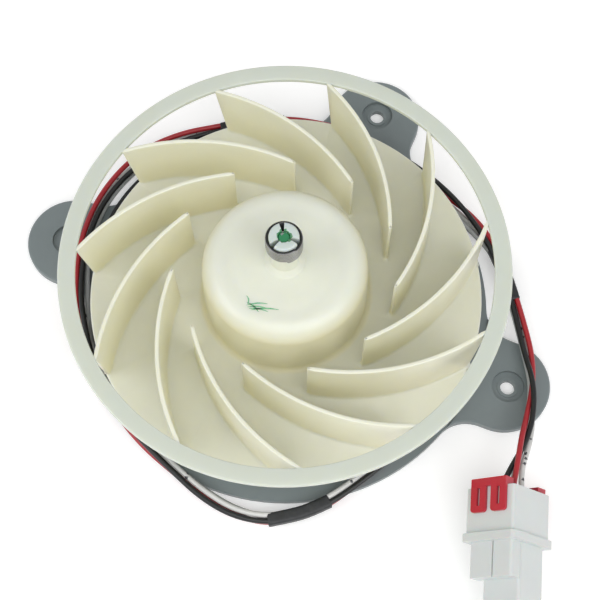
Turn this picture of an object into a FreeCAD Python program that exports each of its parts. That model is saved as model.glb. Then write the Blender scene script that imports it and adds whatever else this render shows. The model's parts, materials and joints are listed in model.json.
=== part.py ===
import FreeCAD, Part
import math
import os

# Refrigerator evaporator fan motor: a moulded centrifugal impeller clamped on the shaft of a
# small brushless motor, on a three-eared bracket, with a four-wire lead and its connector.
# Millimetres. The fan axis is Z, the bracket stands on z = 0, and +X points at the right ear.

V = FreeCAD.Vector
UP = V(0, 0, 1)
ORIGIN = V(0, 0, 0)

# Clearances
running_fit = 0.02
slip_fit = 0.05
loose_fit = 0.15
tip_gap = 0.3

# How far the pieces of one moulding run into each other, and how far a cutter runs past its cut
weld = 0.5
run_out = 1.0

# Impeller
ring_outer_radius = 62.0
ring_width = 4.8
ring_thickness = 1.5
ring_edge_chamfer = 0.3
impeller_top = 34.0
disc_setback = 1.0
disc_thickness = 1.3
disc_gap = 2.1
blade_count = 11
blade_start_angle = 74.1
blade_sweep = 58.6
blade_inner_radius = 30.7
blade_arc_radius = 63.1
blade_top_thickness = 1.1
blade_root_thickness = 1.5
hub_radius = 23.3
hub_draft = 0.5
hub_wall = 1.5
hub_gap = 1.1
hub_shoulder_radius = 5.5
hub_foot_radius = 1.0
hub_land_radius = 13.5
hub_land_height = 0.3
collet_radius = 4.1
collet_top = 51.8
collet_length = 15.5
collet_chamfer = 0.5
collet_foot_radius = 5.6
collet_slot_count = 3
collet_slot_width = 1.5
collet_slot_angle = 121.0
collet_slot_depth = 6.2

# Spring clip, close wound
clip_wire_diameter = 0.93
clip_turns = 7
clip_top_setback = 0.5

# Shaft and rotor
shaft_radius = 1.585
shaft_setback = 0.6
shaft_foot_length = 1.9
shaft_chamfer = 0.25
shaft_groove_depth = 0.35
shaft_groove_height = 0.6
shaft_clip_radius = 3.2
shaft_clip_mouth_share = 0.85
rotor_sleeve_share = 0.5
magnet_gap = 0.6
magnet_overhang = 1.5
magnet_chamfer = 0.4
washer_radius = 3.4
washer_thickness = 0.4
washer_count = 2

# Bearings
bearing_radius = 4.0
upper_bearing_length = 3.4
lower_bearing_length = 4.4
bearing_chamfer = 0.3
bearing_rise = 1.5
retainer_radius = 7.5
retainer_thickness = 0.6
retainer_bore_gap = 1.0
bearing_end_play = 0.2

# Motor can
can_gap = 1.8
can_wall = 0.8
can_corner_radius = 2.0
can_end_room = 1.2
turret_hole_gap = 0.6
can_tab_count = 3
can_tab_width = 4.0
can_tab_reach = 2.4

# Stator
stator_floor_room = 2.2
stator_yoke = 3.2
winding_share = 0.31
tooth_count = 6
tooth_width = 4.0
tooth_shoe_depth = 1.3
tooth_shoe_angle = 46.0
insulator_plate = 0.8
insulator_side = 0.6
insulator_lip_setback = 0.2
insulator_lip_angle = 42.0
insulator_rim_height = 2.9
insulator_rim_wall = 1.0
coil_gap = 0.7
coil_rise = 2.0
coil_corner_radius = 1.2
pin_radius = 0.4
pin_count = 3
pin_start_angle = 30.0

# Bracket
plate_radius = 58.9
plate_thickness = 2.2
ear_thickness = 3.1
ear_angles = (0.0, 87.7, 184.3)
ear_hole_reach = 9.8
ear_end_radius = 13.5
ear_end_setback = 1.5
ear_neck_radius = 10.0
ear_step_radius = 59.4
ear_hole_radius = 2.1
ear_recess_radius = 4.7
ear_recess_depth = 1.4
ear_recess_lip = 0.9
ear_recess_lip_height = 0.3
edge_round = 0.4
pedestal_radius = 30.0
pedestal_draft = 1.0
pedestal_wall = 1.8
pedestal_roof = 1.6
spigot_height = 2.0
spigot_wall = 1.6
bearing_boss_wall = 2.2
bearing_boss_floor = 0.9
boss_shaft_gap = 0.8
pin_hole_gap = 0.4
rib_count = 9
rib_width = 1.6
rib_length = 11.0
rib_height = 3.0
rib_root = 2.0
rib_start_angle = 30.0

# Board, cover and grommet
cover_thickness = 1.6
cover_screw_circle_radius = 22.0
cover_screw_count = 3
cover_screw_start_angle = 40.0
screw_radius = 1.1
screw_head_radius = 2.2
screw_head_height = 1.0
screw_length = 5.0
screw_bite = 0.15
screw_root_depth = 0.2
screw_slot_length = 3.1
screw_slot_width = 0.5
screw_slot_depth = 0.6
screw_setback = 0.1
boss_radius = 3.2
boss_pin_radius = 1.9
board_thickness = 1.6
board_gap = 1.6
board_edge_gap = 0.8
board_hole_gap = 1.0
board_notch_side = 1.5
board_notch_depth = 1.2
thrust_pad_radius = 3.0
thrust_pad_gap = 0.1
chip_size = (6.0, 5.0, 1.1)
chip_chamfer = 0.25
chip_angle = 200.0
chip_setback = 1.2
sensor_size = (4.0, 1.6, 2.4)
sensor_angle = 330.0
capacitor_radius = 1.3
capacitor_room = 0.4
capacitor_length = 6.0
capacitor_angle = 90.0
grommet_angle = 251.0
grommet_width = 9.0
grommet_height = 4.4
grommet_bottom = 3.4
grommet_hole_gap = 0.1
grommet_lip = 0.8
grommet_stand_out = 1.2

# Leads. Routes are (distance from the fan axis, angle, height) points; straight runs between
# them are joined by tangent arcs.
wire_diameter = 1.6
wire_bend_share = 0.45
sleeve_wall = 0.2
sleeve_bore_side = 3.6
sleeve_corner_radius = 0.9
red_route = [
    (24.42, 248.6, 5.6), (32.52, 249.2, 5.6), (40.1, 241.4, 5.1), (49.6, 228.8, 4.6),
    (55.5, 215.8, 5.2), (58.1, 202.3, 5.9), (58.1, 187.3, 5.9), (58, 172.3, 6), (57.9, 157.3, 5.9),
    (57.7, 142.3, 5.9), (57.2, 127.3, 5.9), (56.8, 112.3, 6.1), (57.1, 97.3, 5.8), (56.8, 82.3, 5.8),
    (56, 67.3, 5.6), (55.6, 52.3, 6.6), (54.7, 37.3, 6.7), (54, 22.3, 5.1), (53.3, 7.3, 4.9),
    (52.2, 352.3, 4.1), (52.3, 337.3, 3.3), (53.1, 325.3, 3.4), (56.3, 313.9, 2.9),
    (60.36, 303.5, 3.57), (63.45, 295.8, 3.57), (65.25, 287.5, 3.57), (63.9, 278.2, 3.5),
    (61.6, 270.3, 3.9), (59.7, 260.3, 4.6), (58.9, 249.3, 4.9), (59.5, 237.3, 4.8), (60.2, 224.3, 4.8),
    (62.6, 212.5, 6), (64.7, 200.4, 6.8), (64.9, 185.3, 5.9), (66.8, 170.3, 5.4), (68.8, 155.3, 5.4),
    (66.3, 142.2, 6.1), (62.62, 130.7, 5.83), (62.13, 122.2, 5.83), (61.63, 113.3, 5.83),
    (61.8, 103.3, 6.4), (61.1, 90.3, 5.8), (61.5, 75.3, 6), (62.6, 60.3, 5.3), (64.3, 47.4, 5.4),
    (65.63, 38.4, 5.23), (66.82, 30.9, 5.23), (68.41, 23.5, 5.23), (70.9, 15.4, 5.7), (72.8, 8.3, 6.1),
    (74.6, 1.3, 7), (76.3, 354.3, 7.9), (79, 348.5, 11.1), (81.67, 342.6, 13.78),
    (84.94, 337.8, 15.41), (88.6, 334.5, 16.83)]
black_route = [
    (24.42, 253.4, 5.6), (32.52, 252.8, 5.6), (41.2, 243.7, 5), (51.6, 232.3, 4.6), (57.7, 218.3, 5.5),
    (59.9, 202.3, 6.3), (60, 187.3, 6.1), (59.8, 172.3, 5.9), (59.7, 157.3, 5.9), (59.6, 142.3, 6),
    (59, 127.3, 6.5), (58.2, 112.3, 7.2), (58.2, 97.3, 7.3), (58.1, 82.3, 7.1), (57.8, 67.3, 6.1),
    (57.5, 52.3, 5.4), (56.5, 37.3, 5.3), (55.8, 22.3, 5), (55.2, 7.3, 4.7), (55.8, 352.3, 4.1),
    (56, 337.3, 3.7), (56.1, 325.3, 3.6), (59.7, 314, 5.3), (60.36, 303.5, 5.23), (63.45, 295.8, 5.23),
    (65.25, 287.5, 5.23), (64.6, 278.3, 5.9), (61.9, 270.3, 5.9), (59.8, 260.3, 6.5),
    (58.2, 249.3, 6.6), (57.9, 237.3, 6.6), (58.1, 224.3, 6.8), (59, 212.3, 7.7), (61.6, 200.3, 7.4),
    (62.5, 185.3, 6.6), (63.7, 170.3, 5.6), (65.2, 155.3, 5.4), (63.3, 142.4, 5.9),
    (60.98, 130.9, 5.83), (60.47, 122.4, 5.83), (59.97, 113.3, 5.83), (59.4, 103.3, 6.1),
    (59.4, 90.3, 5.8), (59.6, 75.3, 5.8), (59.9, 60.3, 5.9), (61.6, 47.2, 5.3), (63.97, 38.2, 5.23),
    (65.18, 30.7, 5.23), (66.8, 23.1, 5.23), (68.4, 15.3, 5.9), (71.6, 8.3, 4.5), (75.5, 1.3, 5),
    (77.9, 354.3, 6.4), (79.1, 348.2, 9.2), (80.45, 342, 12.3), (82.54, 336.5, 12.3),
    (85.31, 332.5, 12.3)]
white_route = [
    (24.59, 243.8, 5.6), (32.65, 245.6, 5.6), (39.5, 238.6, 4.3), (47.6, 225.3, 3.4), (55, 212.8, 3.5),
    (57.6, 202.2, 4.1), (58, 187.3, 4.1), (58, 172.3, 4.1), (57.9, 157.3, 4.1), (57.7, 142.3, 4.1),
    (57.1, 127.3, 4), (56.3, 112.3, 3.7), (56.5, 97.3, 4), (56.4, 82.3, 4.1), (56.1, 67.3, 3.7),
    (55.4, 52.3, 4.8), (54.8, 37.2, 4.9), (54, 22.3, 3.1), (53.8, 7.3, 3.1), (54.1, 352.3, 3.1),
    (54.1, 337.3, 4), (54.5, 325.3, 4.5), (56.9, 313.7, 5.3), (58.78, 303, 5.23), (61.83, 295.4, 5.23),
    (63.65, 287.1, 5.23), (61.4, 278.3, 5.5), (60.1, 270.3, 5), (58, 260.3, 4.9), (57.1, 249.3, 4.9),
    (57.6, 237.3, 4.9), (58.5, 224.3, 4.7), (60.3, 212.4, 6.5), (63.4, 200.4, 5.1), (63.7, 185.3, 4.4),
    (65.3, 170.3, 4), (67.1, 155.3, 3.9), (66.8, 142.2, 3.2), (62.62, 130.7, 4.17),
    (62.13, 122.2, 4.17), (61.63, 113.3, 4.17), (62.4, 103.3, 4), (61.9, 90.3, 4.2), (61.8, 75.5, 4.2),
    (62.3, 60.5, 3.5), (64.3, 47.4, 2.7), (65.63, 38.4, 3.57), (66.82, 30.9, 3.57),
    (68.41, 23.5, 3.57), (70, 15.3, 3.3), (73.3, 8.4, 4.3), (77.2, 1.4, 4), (79.3, 354.3, 5.2),
    (81.1, 348.8, 8.8), (82.91, 343.2, 12.3), (87.38, 339.1, 12.3), (92, 336.4, 12.3)]
grey_route = [
    (24.59, 258.2, 5.6), (32.65, 256.4, 5.6), (42.4, 246.1, 4.4), (53.6, 235.8, 3.6),
    (58.2, 220.2, 3.8), (59.5, 202.3, 4.1), (60.1, 187.3, 4.1), (59.8, 172.3, 4.2), (59.7, 157.3, 4.1),
    (59.6, 142.3, 4.2), (58.8, 127.3, 4.6), (57.9, 112.3, 4.7), (58.4, 97.3, 4.3), (58.2, 82.3, 4.2),
    (58.1, 67.3, 4), (57.8, 52.9, 3.1), (53.2, 37.1, 3), (52, 22.3, 3.5), (51.6, 7.3, 3.1),
    (50.7, 352.3, 3.1), (50.5, 337.3, 3.1), (51.2, 325.3, 3.3), (53.4, 313.5, 3), (58.78, 303, 3.57),
    (61.83, 295.4, 3.57), (63.65, 287.1, 3.57), (61.2, 278.4, 3.2), (59.9, 270.3, 3.3),
    (58, 260.3, 3.1), (57.3, 249.3, 3.1), (57.9, 237.3, 3.1), (59.3, 224.3, 3), (60.5, 212.2, 3.5),
    (61, 200.3, 5.2), (62, 185.4, 4.5), (62.9, 170.4, 4), (64.2, 155.3, 3.6), (63.7, 142.3, 3),
    (60.98, 130.9, 4.17), (60.47, 122.4, 4.17), (59.97, 113.3, 4.17), (59.9, 103.4, 4),
    (60.1, 90.3, 4.2), (60, 75.4, 4), (60.4, 60.8, 4.1), (61.7, 47.2, 2.7), (63.97, 38.2, 3.57),
    (65.18, 30.7, 3.57), (66.8, 23.1, 3.57), (67.4, 15, 3.6), (69.7, 8, 4.6), (73.7, 1.2, 4.2),
    (77.1, 354.3, 4.5), (79.7, 348.4, 7.3), (81.67, 342.6, 10.82), (84.94, 337.8, 9.19),
    (88.6, 334.5, 7.77)]
lower_sleeve_route = [
    (56.5, 313.8, 4.1), (59.57, 303.2, 4.4), (62.64, 295.6, 4.4), (64.45, 287.3, 4.4), (62.8, 278.3, 4.5)]
upper_sleeve_route = [
    (65, 142.3, 4.6), (61.8, 130.8, 5), (61.3, 122.3, 5), (60.8, 113.3, 5), (60.9, 103.3, 5.1)]
end_sleeve_route = [
    (63, 47.3, 4), (64.8, 38.3, 4.4), (66, 30.8, 4.4), (67.6, 23.3, 4.4), (69.2, 15.2, 4.6)]

# Connector
connector_side = 16.0
connector_length = 14.5
connector_corner_radius = 0.9
connector_roll = 45.0
connector_heading = -73.2
connector_entry = (78.1, -31.9, 12.3)
rim_height = 2.2
rim_reach = 0.8
cell_pitch = 6.4
cell_side = 4.6
cell_depth = 9.0
column_depth = 4.0
column_length = 9.5
column_gap = 0.5
nose_length = 20.0
nose_setback = 1.0
nose_mouth_depth = 3.0
nose_mouth_wall = 0.6
column_mouth_wall = 1.9
terminal_radius = 1.0
terminal_length = 2.5
terminal_gap = 0.2
comb_thickness = 0.9
comb_loop_width = 4.9
comb_loop_gap = 1.7
comb_reach = 7.0
comb_overhang = 2.2
comb_bar_height = 1.7
comb_slit_width = 0.9
comb_slit_start = 0.4
comb_slit_end = 5.2
comb_lip = 3.4
comb_end_radius = 1.0

# Derived sizes across the axis
ring_inner_radius = ring_outer_radius - ring_width
disc_radius = ring_inner_radius - disc_setback
ear_hole_circle_radius = plate_radius + ear_hole_reach
can_radius = hub_radius - hub_wall - can_gap
stator_outer_radius = can_radius - can_wall - slip_fit
yoke_inner_radius = stator_outer_radius - stator_yoke
shoe_outer_radius = yoke_inner_radius * (1 - winding_share)
stator_bore_radius = shoe_outer_radius - tooth_shoe_depth
magnet_radius = stator_bore_radius - magnet_gap
rotor_sleeve_radius = magnet_radius * rotor_sleeve_share
pin_circle_radius = yoke_inner_radius + (insulator_rim_wall - insulator_side) / 2
chip_circle_radius = pin_circle_radius - chip_setback
pedestal_inner_radius = pedestal_radius - pedestal_wall
cavity_radius = pedestal_inner_radius - pedestal_draft
bearing_boss_radius = bearing_radius + bearing_boss_wall

# Derived heights, from the bracket's foot up
board_bottom = cover_thickness + board_gap
board_top = board_bottom + board_thickness
pedestal_ceiling = board_top + 2 * capacitor_radius + capacitor_room
pedestal_top = pedestal_ceiling + pedestal_roof
lower_bearing_top = pedestal_top + bearing_rise
lower_bearing_bottom = lower_bearing_top - lower_bearing_length
boss_bottom = lower_bearing_bottom - bearing_boss_floor
shaft_groove_bottom = boss_bottom - shaft_groove_height
shaft_bottom = shaft_groove_bottom - shaft_foot_length
washer_stack = washer_thickness * washer_count
rotor_sleeve_bottom = lower_bearing_top + tip_gap + washer_stack
winding_height = insulator_plate + insulator_rim_height
stator_bottom = pedestal_top + stator_floor_room + winding_height
disc_bottom = pedestal_top + disc_gap
disc_top = disc_bottom + disc_thickness

# Derived heights, from the shaft's end down; the stator fills the height that is left
shaft_top = collet_top - shaft_setback
hub_land_top = collet_top - collet_length
hub_top = hub_land_top - hub_land_height
hub_ceiling = hub_top - hub_wall
turret_top = hub_ceiling - hub_gap
bearing_ceiling = turret_top - can_wall
can_ceiling = bearing_ceiling - upper_bearing_length
can_top = can_ceiling + can_wall
rotor_sleeve_top = can_ceiling - retainer_thickness - bearing_end_play - washer_stack
stator_top = can_ceiling - can_end_room - winding_height
magnet_bottom = stator_bottom - magnet_overhang
magnet_top = stator_top + magnet_overhang


def polar(radius, angle, height=0.0):
    turn = math.radians(angle)
    return V(radius * math.cos(turn), radius * math.sin(turn), height)


def cylinder(radius, bottom, top, centre=ORIGIN):
    return Part.makeCylinder(radius, top - bottom, V(centre.x, centre.y, bottom))


def tube(outer, inner, bottom, top, centre=ORIGIN):
    return cylinder(outer, bottom, top, centre).cut(cylinder(inner, bottom, top, centre))


def box(size, corner):
    return Part.makeBox(size[0], size[1], size[2], V(*corner))


def turned(shape, angle):
    """Copy of a shape turned about the fan axis."""
    copy = shape.copy()
    copy.rotate(ORIGIN, UP, angle)
    return copy


def fused(shapes):
    return shapes[0].multiFuse(shapes[1:]).removeSplitter()


def arc(start, through, end):
    return Part.Arc(start, through, end).toShape()


def line(start, end):
    return Part.LineSegment(start, end).toShape()


def revolved(edges):
    """Solid of revolution about Z from a closed profile in the XZ plane."""
    return Part.Face(Part.Wire(edges)).revolve(ORIGIN, UP, 360)


def profile(points):
    """Closed straight-sided profile in the XZ plane from (radius, height) pairs."""
    return Part.makePolygon([V(r, 0, z) for r, z in points + points[:1]]).Edges


def quarter(centre, radius, start_angle, end_angle):
    """Arc in the XZ plane about a centre given as (radius, height)."""
    def at(angle):
        turn = math.radians(angle)
        return V(centre[0] + radius * math.cos(turn), 0, centre[1] + radius * math.sin(turn))
    return arc(at(start_angle), at((start_angle + end_angle) / 2), at(end_angle))


def joined(edges):
    """Closes the gaps between consecutive edges of a profile with straight lines."""
    closed = []
    for edge, following in zip(edges, edges[1:] + edges[:1]):
        closed.append(edge)
        if edge.lastVertex(True).Point.distanceToPoint(following.firstVertex(True).Point) > 1e-6:
            closed.append(line(edge.lastVertex(True).Point, following.firstVertex(True).Point))
    return closed


def outer_rims(shape, radius):
    """The round edges of a ring that have this radius."""
    return [e for e in shape.Edges
            if e.Curve.TypeId == "Part::GeomCircle" and abs(e.Curve.Radius - radius) < 0.01]


def save(name, shape):
    shape.exportStep("parts/%s.step" % name)


# Impeller
def blade_arc_centre():
    """Centre of the arc that a blade follows from its inner end to its outer end."""
    inner = polar(blade_inner_radius, 0)
    half = (polar(ring_inner_radius + ring_edge_chamfer, blade_sweep) - inner) * 0.5
    rise = math.sqrt(blade_arc_radius ** 2 - half.Length ** 2)
    return inner + half + V(-half.y, half.x, 0).normalize() * rise


def blade_profile(thickness, end_radius, height):
    """Closed outline of one blade: two arcs about the blade's own centre, square at both ends."""
    centre = blade_arc_centre()
    reach = centre.Length
    bearing = math.degrees(math.atan2(centre.y, centre.x))

    def angle_where(radius):
        # The arc's angle, seen from its centre, at which its middle line is this far from the axis
        cosine = (radius ** 2 - reach ** 2 - blade_arc_radius ** 2) / (2 * reach * blade_arc_radius)
        return bearing - math.degrees(math.acos(cosine))

    first = angle_where(blade_inner_radius)
    last = angle_where(end_radius)
    edges = []
    for offset, angles in ((thickness / 2, (first, last)), (-thickness / 2, (last, first))):
        radius = blade_arc_radius + offset
        points = [centre + polar(radius, a, height) for a in (angles[0], sum(angles) / 2, angles[1])]
        edges.append(arc(*points))
    return Part.Wire(joined(edges))


def make_blade():
    """A blade leans out to the ring and gets thinner upwards, as a moulding needs."""
    root = blade_profile(blade_root_thickness, disc_radius - ring_edge_chamfer, disc_top - disc_thickness / 2)
    crest = blade_profile(blade_top_thickness, ring_inner_radius + ring_edge_chamfer, impeller_top)
    return Part.makeLoft([root, crest], True, True)


def make_impeller():
    shoulder = hub_shoulder_radius
    top_radius = hub_radius - hub_draft
    inner_shoulder = shoulder - hub_wall
    land = hub_land_top
    bore = shaft_radius + running_fit
    foot = hub_foot_radius
    outer = [
        line(V(disc_radius, 0, disc_bottom), V(disc_radius, 0, disc_top)),
        quarter((hub_radius + foot, disc_top + foot), foot, 270, 180),
        quarter((top_radius - shoulder, hub_top - shoulder), shoulder, 0, 90),
        line(V(hub_land_radius, 0, hub_top), V(hub_land_radius - hub_land_height, 0, land)),
        line(V(collet_foot_radius, 0, land), V(collet_radius, 0, land + collet_foot_radius - collet_radius)),
        line(V(collet_radius, 0, collet_top - collet_chamfer), V(collet_radius - collet_chamfer, 0, collet_top)),
        line(V(bore, 0, collet_top), V(bore, 0, hub_ceiling)),
        quarter((top_radius - shoulder, hub_top - shoulder), inner_shoulder, 90, 0),
        line(V(hub_radius - hub_wall, 0, disc_top), V(hub_radius - hub_wall, 0, disc_bottom)),
    ]
    body = revolved(joined(outer))
    c = ring_edge_chamfer
    bottom = impeller_top - ring_thickness
    ring = revolved(profile([
        (ring_inner_radius, bottom), (ring_outer_radius - c, bottom), (ring_outer_radius, bottom + c),
        (ring_outer_radius, impeller_top - c), (ring_outer_radius - c, impeller_top),
        (ring_inner_radius, impeller_top)]))
    blade = make_blade()
    blades = [turned(blade, blade_start_angle + n * 360.0 / blade_count) for n in range(blade_count)]
    impeller = fused([body, ring] + blades)
    slot = box((collet_radius + run_out, collet_slot_width, collet_slot_depth + run_out),
               (0, -collet_slot_width / 2, collet_top - collet_slot_depth))
    for n in range(collet_slot_count):
        impeller = impeller.cut(turned(slot, collet_slot_angle + n * 360.0 / collet_slot_count))
    return impeller


def make_spring_clip():
    """Close wound coil round the collet, its turns as ridges of a sleeve."""
    wire = clip_wire_diameter
    inner = collet_radius + slip_fit
    top = collet_top - clip_top_setback
    edges = [quarter((inner + wire / 2, top - wire * (n + 0.5)), wire / 2, 90, -90)
             for n in range(clip_turns)]
    edges.append(line(V(inner, 0, top - wire * clip_turns), V(inner, 0, top)))
    return revolved(joined(edges))


# Shaft, rotor and bearings
def make_motor_shaft():
    shaft = cylinder(shaft_radius, shaft_bottom, shaft_top)
    shaft = shaft.makeChamfer(shaft_chamfer, [e for e in shaft.Edges if e.Curve.TypeId == "Part::GeomCircle"])
    groove = tube(shaft_radius + run_out, shaft_radius - shaft_groove_depth,
                  shaft_groove_bottom, shaft_groove_bottom + shaft_groove_height)
    return shaft.cut(groove)


def make_shaft_clip():
    """Retaining ring that snaps into the shaft's groove, open on one side."""
    bottom = shaft_groove_bottom + slip_fit
    top = shaft_groove_bottom + shaft_groove_height - slip_fit
    seat = shaft_radius - shaft_groove_depth + slip_fit
    ring = tube(shaft_clip_radius, seat, bottom, top)
    opening = shaft_clip_mouth_share * 2 * seat
    mouth = box((shaft_clip_radius + run_out, opening, top - bottom), (0, -opening / 2, bottom))
    return ring.cut(mouth)


def make_rotor_sleeve():
    return tube(rotor_sleeve_radius, shaft_radius + running_fit, rotor_sleeve_bottom, rotor_sleeve_top)


def make_rotor_magnet():
    ring = tube(magnet_radius, rotor_sleeve_radius + running_fit, magnet_bottom, magnet_top)
    return ring.makeChamfer(magnet_chamfer, outer_rims(ring, magnet_radius))


def make_washers(bottom):
    washers = []
    for n in range(washer_count):
        base = bottom + n * washer_thickness
        washers.append(tube(washer_radius, shaft_radius + slip_fit, base, base + washer_thickness))
    return Part.makeCompound(washers)


def make_bearing(bottom, length):
    bush = tube(bearing_radius, shaft_radius + running_fit, bottom, bottom + length)
    return bush.makeChamfer(bearing_chamfer, outer_rims(bush, bearing_radius))


def make_bearing_retainer():
    return tube(retainer_radius, shaft_radius + retainer_bore_gap,
                can_ceiling - retainer_thickness, can_ceiling)


# Motor can and stator
def make_motor_can():
    """Drawn steel cup with a turret for the upper bearing and tabs through the bracket."""
    corner = can_corner_radius
    outer_turret = bearing_radius + slip_fit + can_wall
    shaft_hole = shaft_radius + turret_hole_gap
    edges = [
        line(V(can_radius, 0, pedestal_top), V(can_radius, 0, can_top - corner)),
        quarter((can_radius - corner, can_top - corner), corner, 0, 90),
        line(V(outer_turret, 0, can_top), V(outer_turret, 0, turret_top)),
        line(V(shaft_hole, 0, turret_top), V(shaft_hole, 0, bearing_ceiling)),
        line(V(bearing_radius + slip_fit, 0, bearing_ceiling), V(bearing_radius + slip_fit, 0, can_ceiling)),
        quarter((can_radius - corner, can_top - corner), corner - can_wall, 90, 0),
        line(V(can_radius - can_wall, 0, can_top - corner), V(can_radius - can_wall, 0, pedestal_top)),
    ]
    can = revolved(joined(edges))
    tab = can_tab_shape(0.0, pedestal_top)
    tabs = [turned(tab, n * 360.0 / can_tab_count) for n in range(can_tab_count)]
    return fused([can] + tabs)


def can_tab_shape(clearance, top):
    """One tab of the can, or with a clearance the slot that it goes through."""
    wall = tube(can_radius + clearance, can_radius - can_wall - clearance,
                pedestal_top - can_tab_reach - clearance, top)
    width = can_tab_width + 2 * clearance
    return wall.common(box((can_radius + run_out, width, top), (0, -width / 2, 0)))


def tooth_layout(shape):
    return [turned(shape, n * 360.0 / tooth_count) for n in range(tooth_count)]


def sector(inner, outer, angle, bottom, top):
    """Piece of a ring that spans an angle, centred on +X."""
    wedge = Part.makeCylinder(outer, top - bottom, V(0, 0, bottom), UP, angle)
    return turned(wedge.cut(cylinder(inner, bottom, top)), -angle / 2)


def make_stator_core():
    yoke = tube(stator_outer_radius, yoke_inner_radius, stator_bottom, stator_top)
    start = shoe_outer_radius - weld
    tooth = box((yoke_inner_radius + weld - start, tooth_width, stator_top - stator_bottom),
                (start, -tooth_width / 2, stator_bottom))
    shoe = sector(stator_bore_radius, shoe_outer_radius, tooth_shoe_angle, stator_bottom, stator_top)
    return fused([yoke] + tooth_layout(tooth) + tooth_layout(shoe))


def make_insulator(face, direction):
    """Moulded frame on one end of the core; direction is 1 above the core and -1 below it."""
    width = tooth_width + 2 * insulator_side

    def span(start, height):
        return (face, face + height) if direction > 0 else (face - height, face)

    low, high = span(face, insulator_plate)
    wall_low, wall_high = span(face, winding_height)
    ring = tube(yoke_inner_radius + insulator_rim_wall, yoke_inner_radius - insulator_side, wall_low, wall_high)
    start = shoe_outer_radius - weld
    arm = box((yoke_inner_radius - start, width, insulator_plate), (start, -width / 2, low))
    lip = sector(stator_bore_radius + insulator_lip_setback, shoe_outer_radius, insulator_lip_angle,
                 wall_low, wall_high)
    return fused([ring] + tooth_layout(arm) + tooth_layout(lip))


def make_stator_coils():
    """One winding round each tooth, between the shoe and the yoke."""
    inner_width = tooth_width + 2 * insulator_side + 2 * slip_fit
    low = stator_bottom - insulator_plate - slip_fit
    high = stator_top + insulator_plate + slip_fit
    start = shoe_outer_radius + slip_fit
    # A winding fills half of the slot beside its tooth, and its corners stay inside the insulator's rim
    outer_half = start * math.tan(math.pi / tooth_count) - coil_gap / 2
    rim = yoke_inner_radius - insulator_side - slip_fit
    depth = math.sqrt(rim ** 2 - outer_half ** 2) - start
    outer = box((depth, 2 * outer_half, high - low + 2 * coil_rise), (start, -outer_half, low - coil_rise))
    outer = outer.makeFillet(coil_corner_radius, [e for e in outer.Edges if abs(e.tangentAt(0).x) > 0.9])
    opening = box((depth + 2 * run_out, inner_width, high - low), (start - run_out, -inner_width / 2, low))
    return Part.makeCompound(tooth_layout(outer.cut(opening)))


def pin_places():
    return [polar(pin_circle_radius, pin_start_angle + n * 360.0 / pin_count) for n in range(pin_count)]


def make_winding_pins():
    """Pins that carry the winding ends down to the board."""
    top = stator_bottom - winding_height
    return Part.makeCompound([cylinder(pin_radius, board_bottom, top, place) for place in pin_places()])


# Bracket, board and cover
def ear_edges(angle, next_angle):
    """Outline of one ear with straight sides and neck arcs, and the plate's arc on to the next ear."""
    end_reach = ear_hole_circle_radius - ear_end_setback
    to_neck = plate_radius + ear_neck_radius
    neck_side = ear_end_radius + ear_neck_radius
    neck_turn = math.degrees(math.asin(neck_side / to_neck))
    neck_reach = math.sqrt(to_neck ** 2 - neck_side ** 2)

    def side(sign):
        centre = polar(to_neck, angle + sign * neck_turn)
        on_plate = polar(plate_radius, angle + sign * neck_turn)
        half_width = polar(sign * ear_end_radius, angle + 90)
        on_side = polar(neck_reach, angle) + half_width
        on_end = polar(end_reach, angle) + half_width
        middle = (on_plate + on_side) * 0.5 - centre
        middle = centre + middle.normalize() * ear_neck_radius
        return on_plate, middle, on_side, on_end

    right, left = side(-1), side(1)
    tip = polar(end_reach + ear_end_radius, angle)
    first = angle + neck_turn
    last = next_angle - neck_turn
    return [arc(*right[:3]), line(right[2], right[3]), arc(right[3], tip, left[3]), line(left[3], left[2]),
            arc(left[2], left[1], left[0]),
            arc(left[0], polar(plate_radius, (first + last) / 2), polar(plate_radius, last))]


def make_plate():
    """Round plate with three ears, the ears thicker than the plate by a small step."""
    edges = []
    for n, angle in enumerate(ear_angles):
        following = ear_angles[(n + 1) % len(ear_angles)]
        edges += ear_edges(angle, following if following > angle else following + 360)
    outline = Part.Face(Part.Wire(edges))
    plate = outline.extrude(V(0, 0, ear_thickness))
    top_edges = [e for e in plate.Edges if e.BoundBox.ZMin > ear_thickness - slip_fit]
    plate = plate.makeChamfer(edge_round, top_edges)
    return plate.cut(cylinder(ear_step_radius, plate_thickness, ear_thickness + run_out))


def cover_screw_places():
    step = 360.0 / cover_screw_count
    return [polar(cover_screw_circle_radius, cover_screw_start_angle + n * step)
            for n in range(cover_screw_count)]


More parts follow.
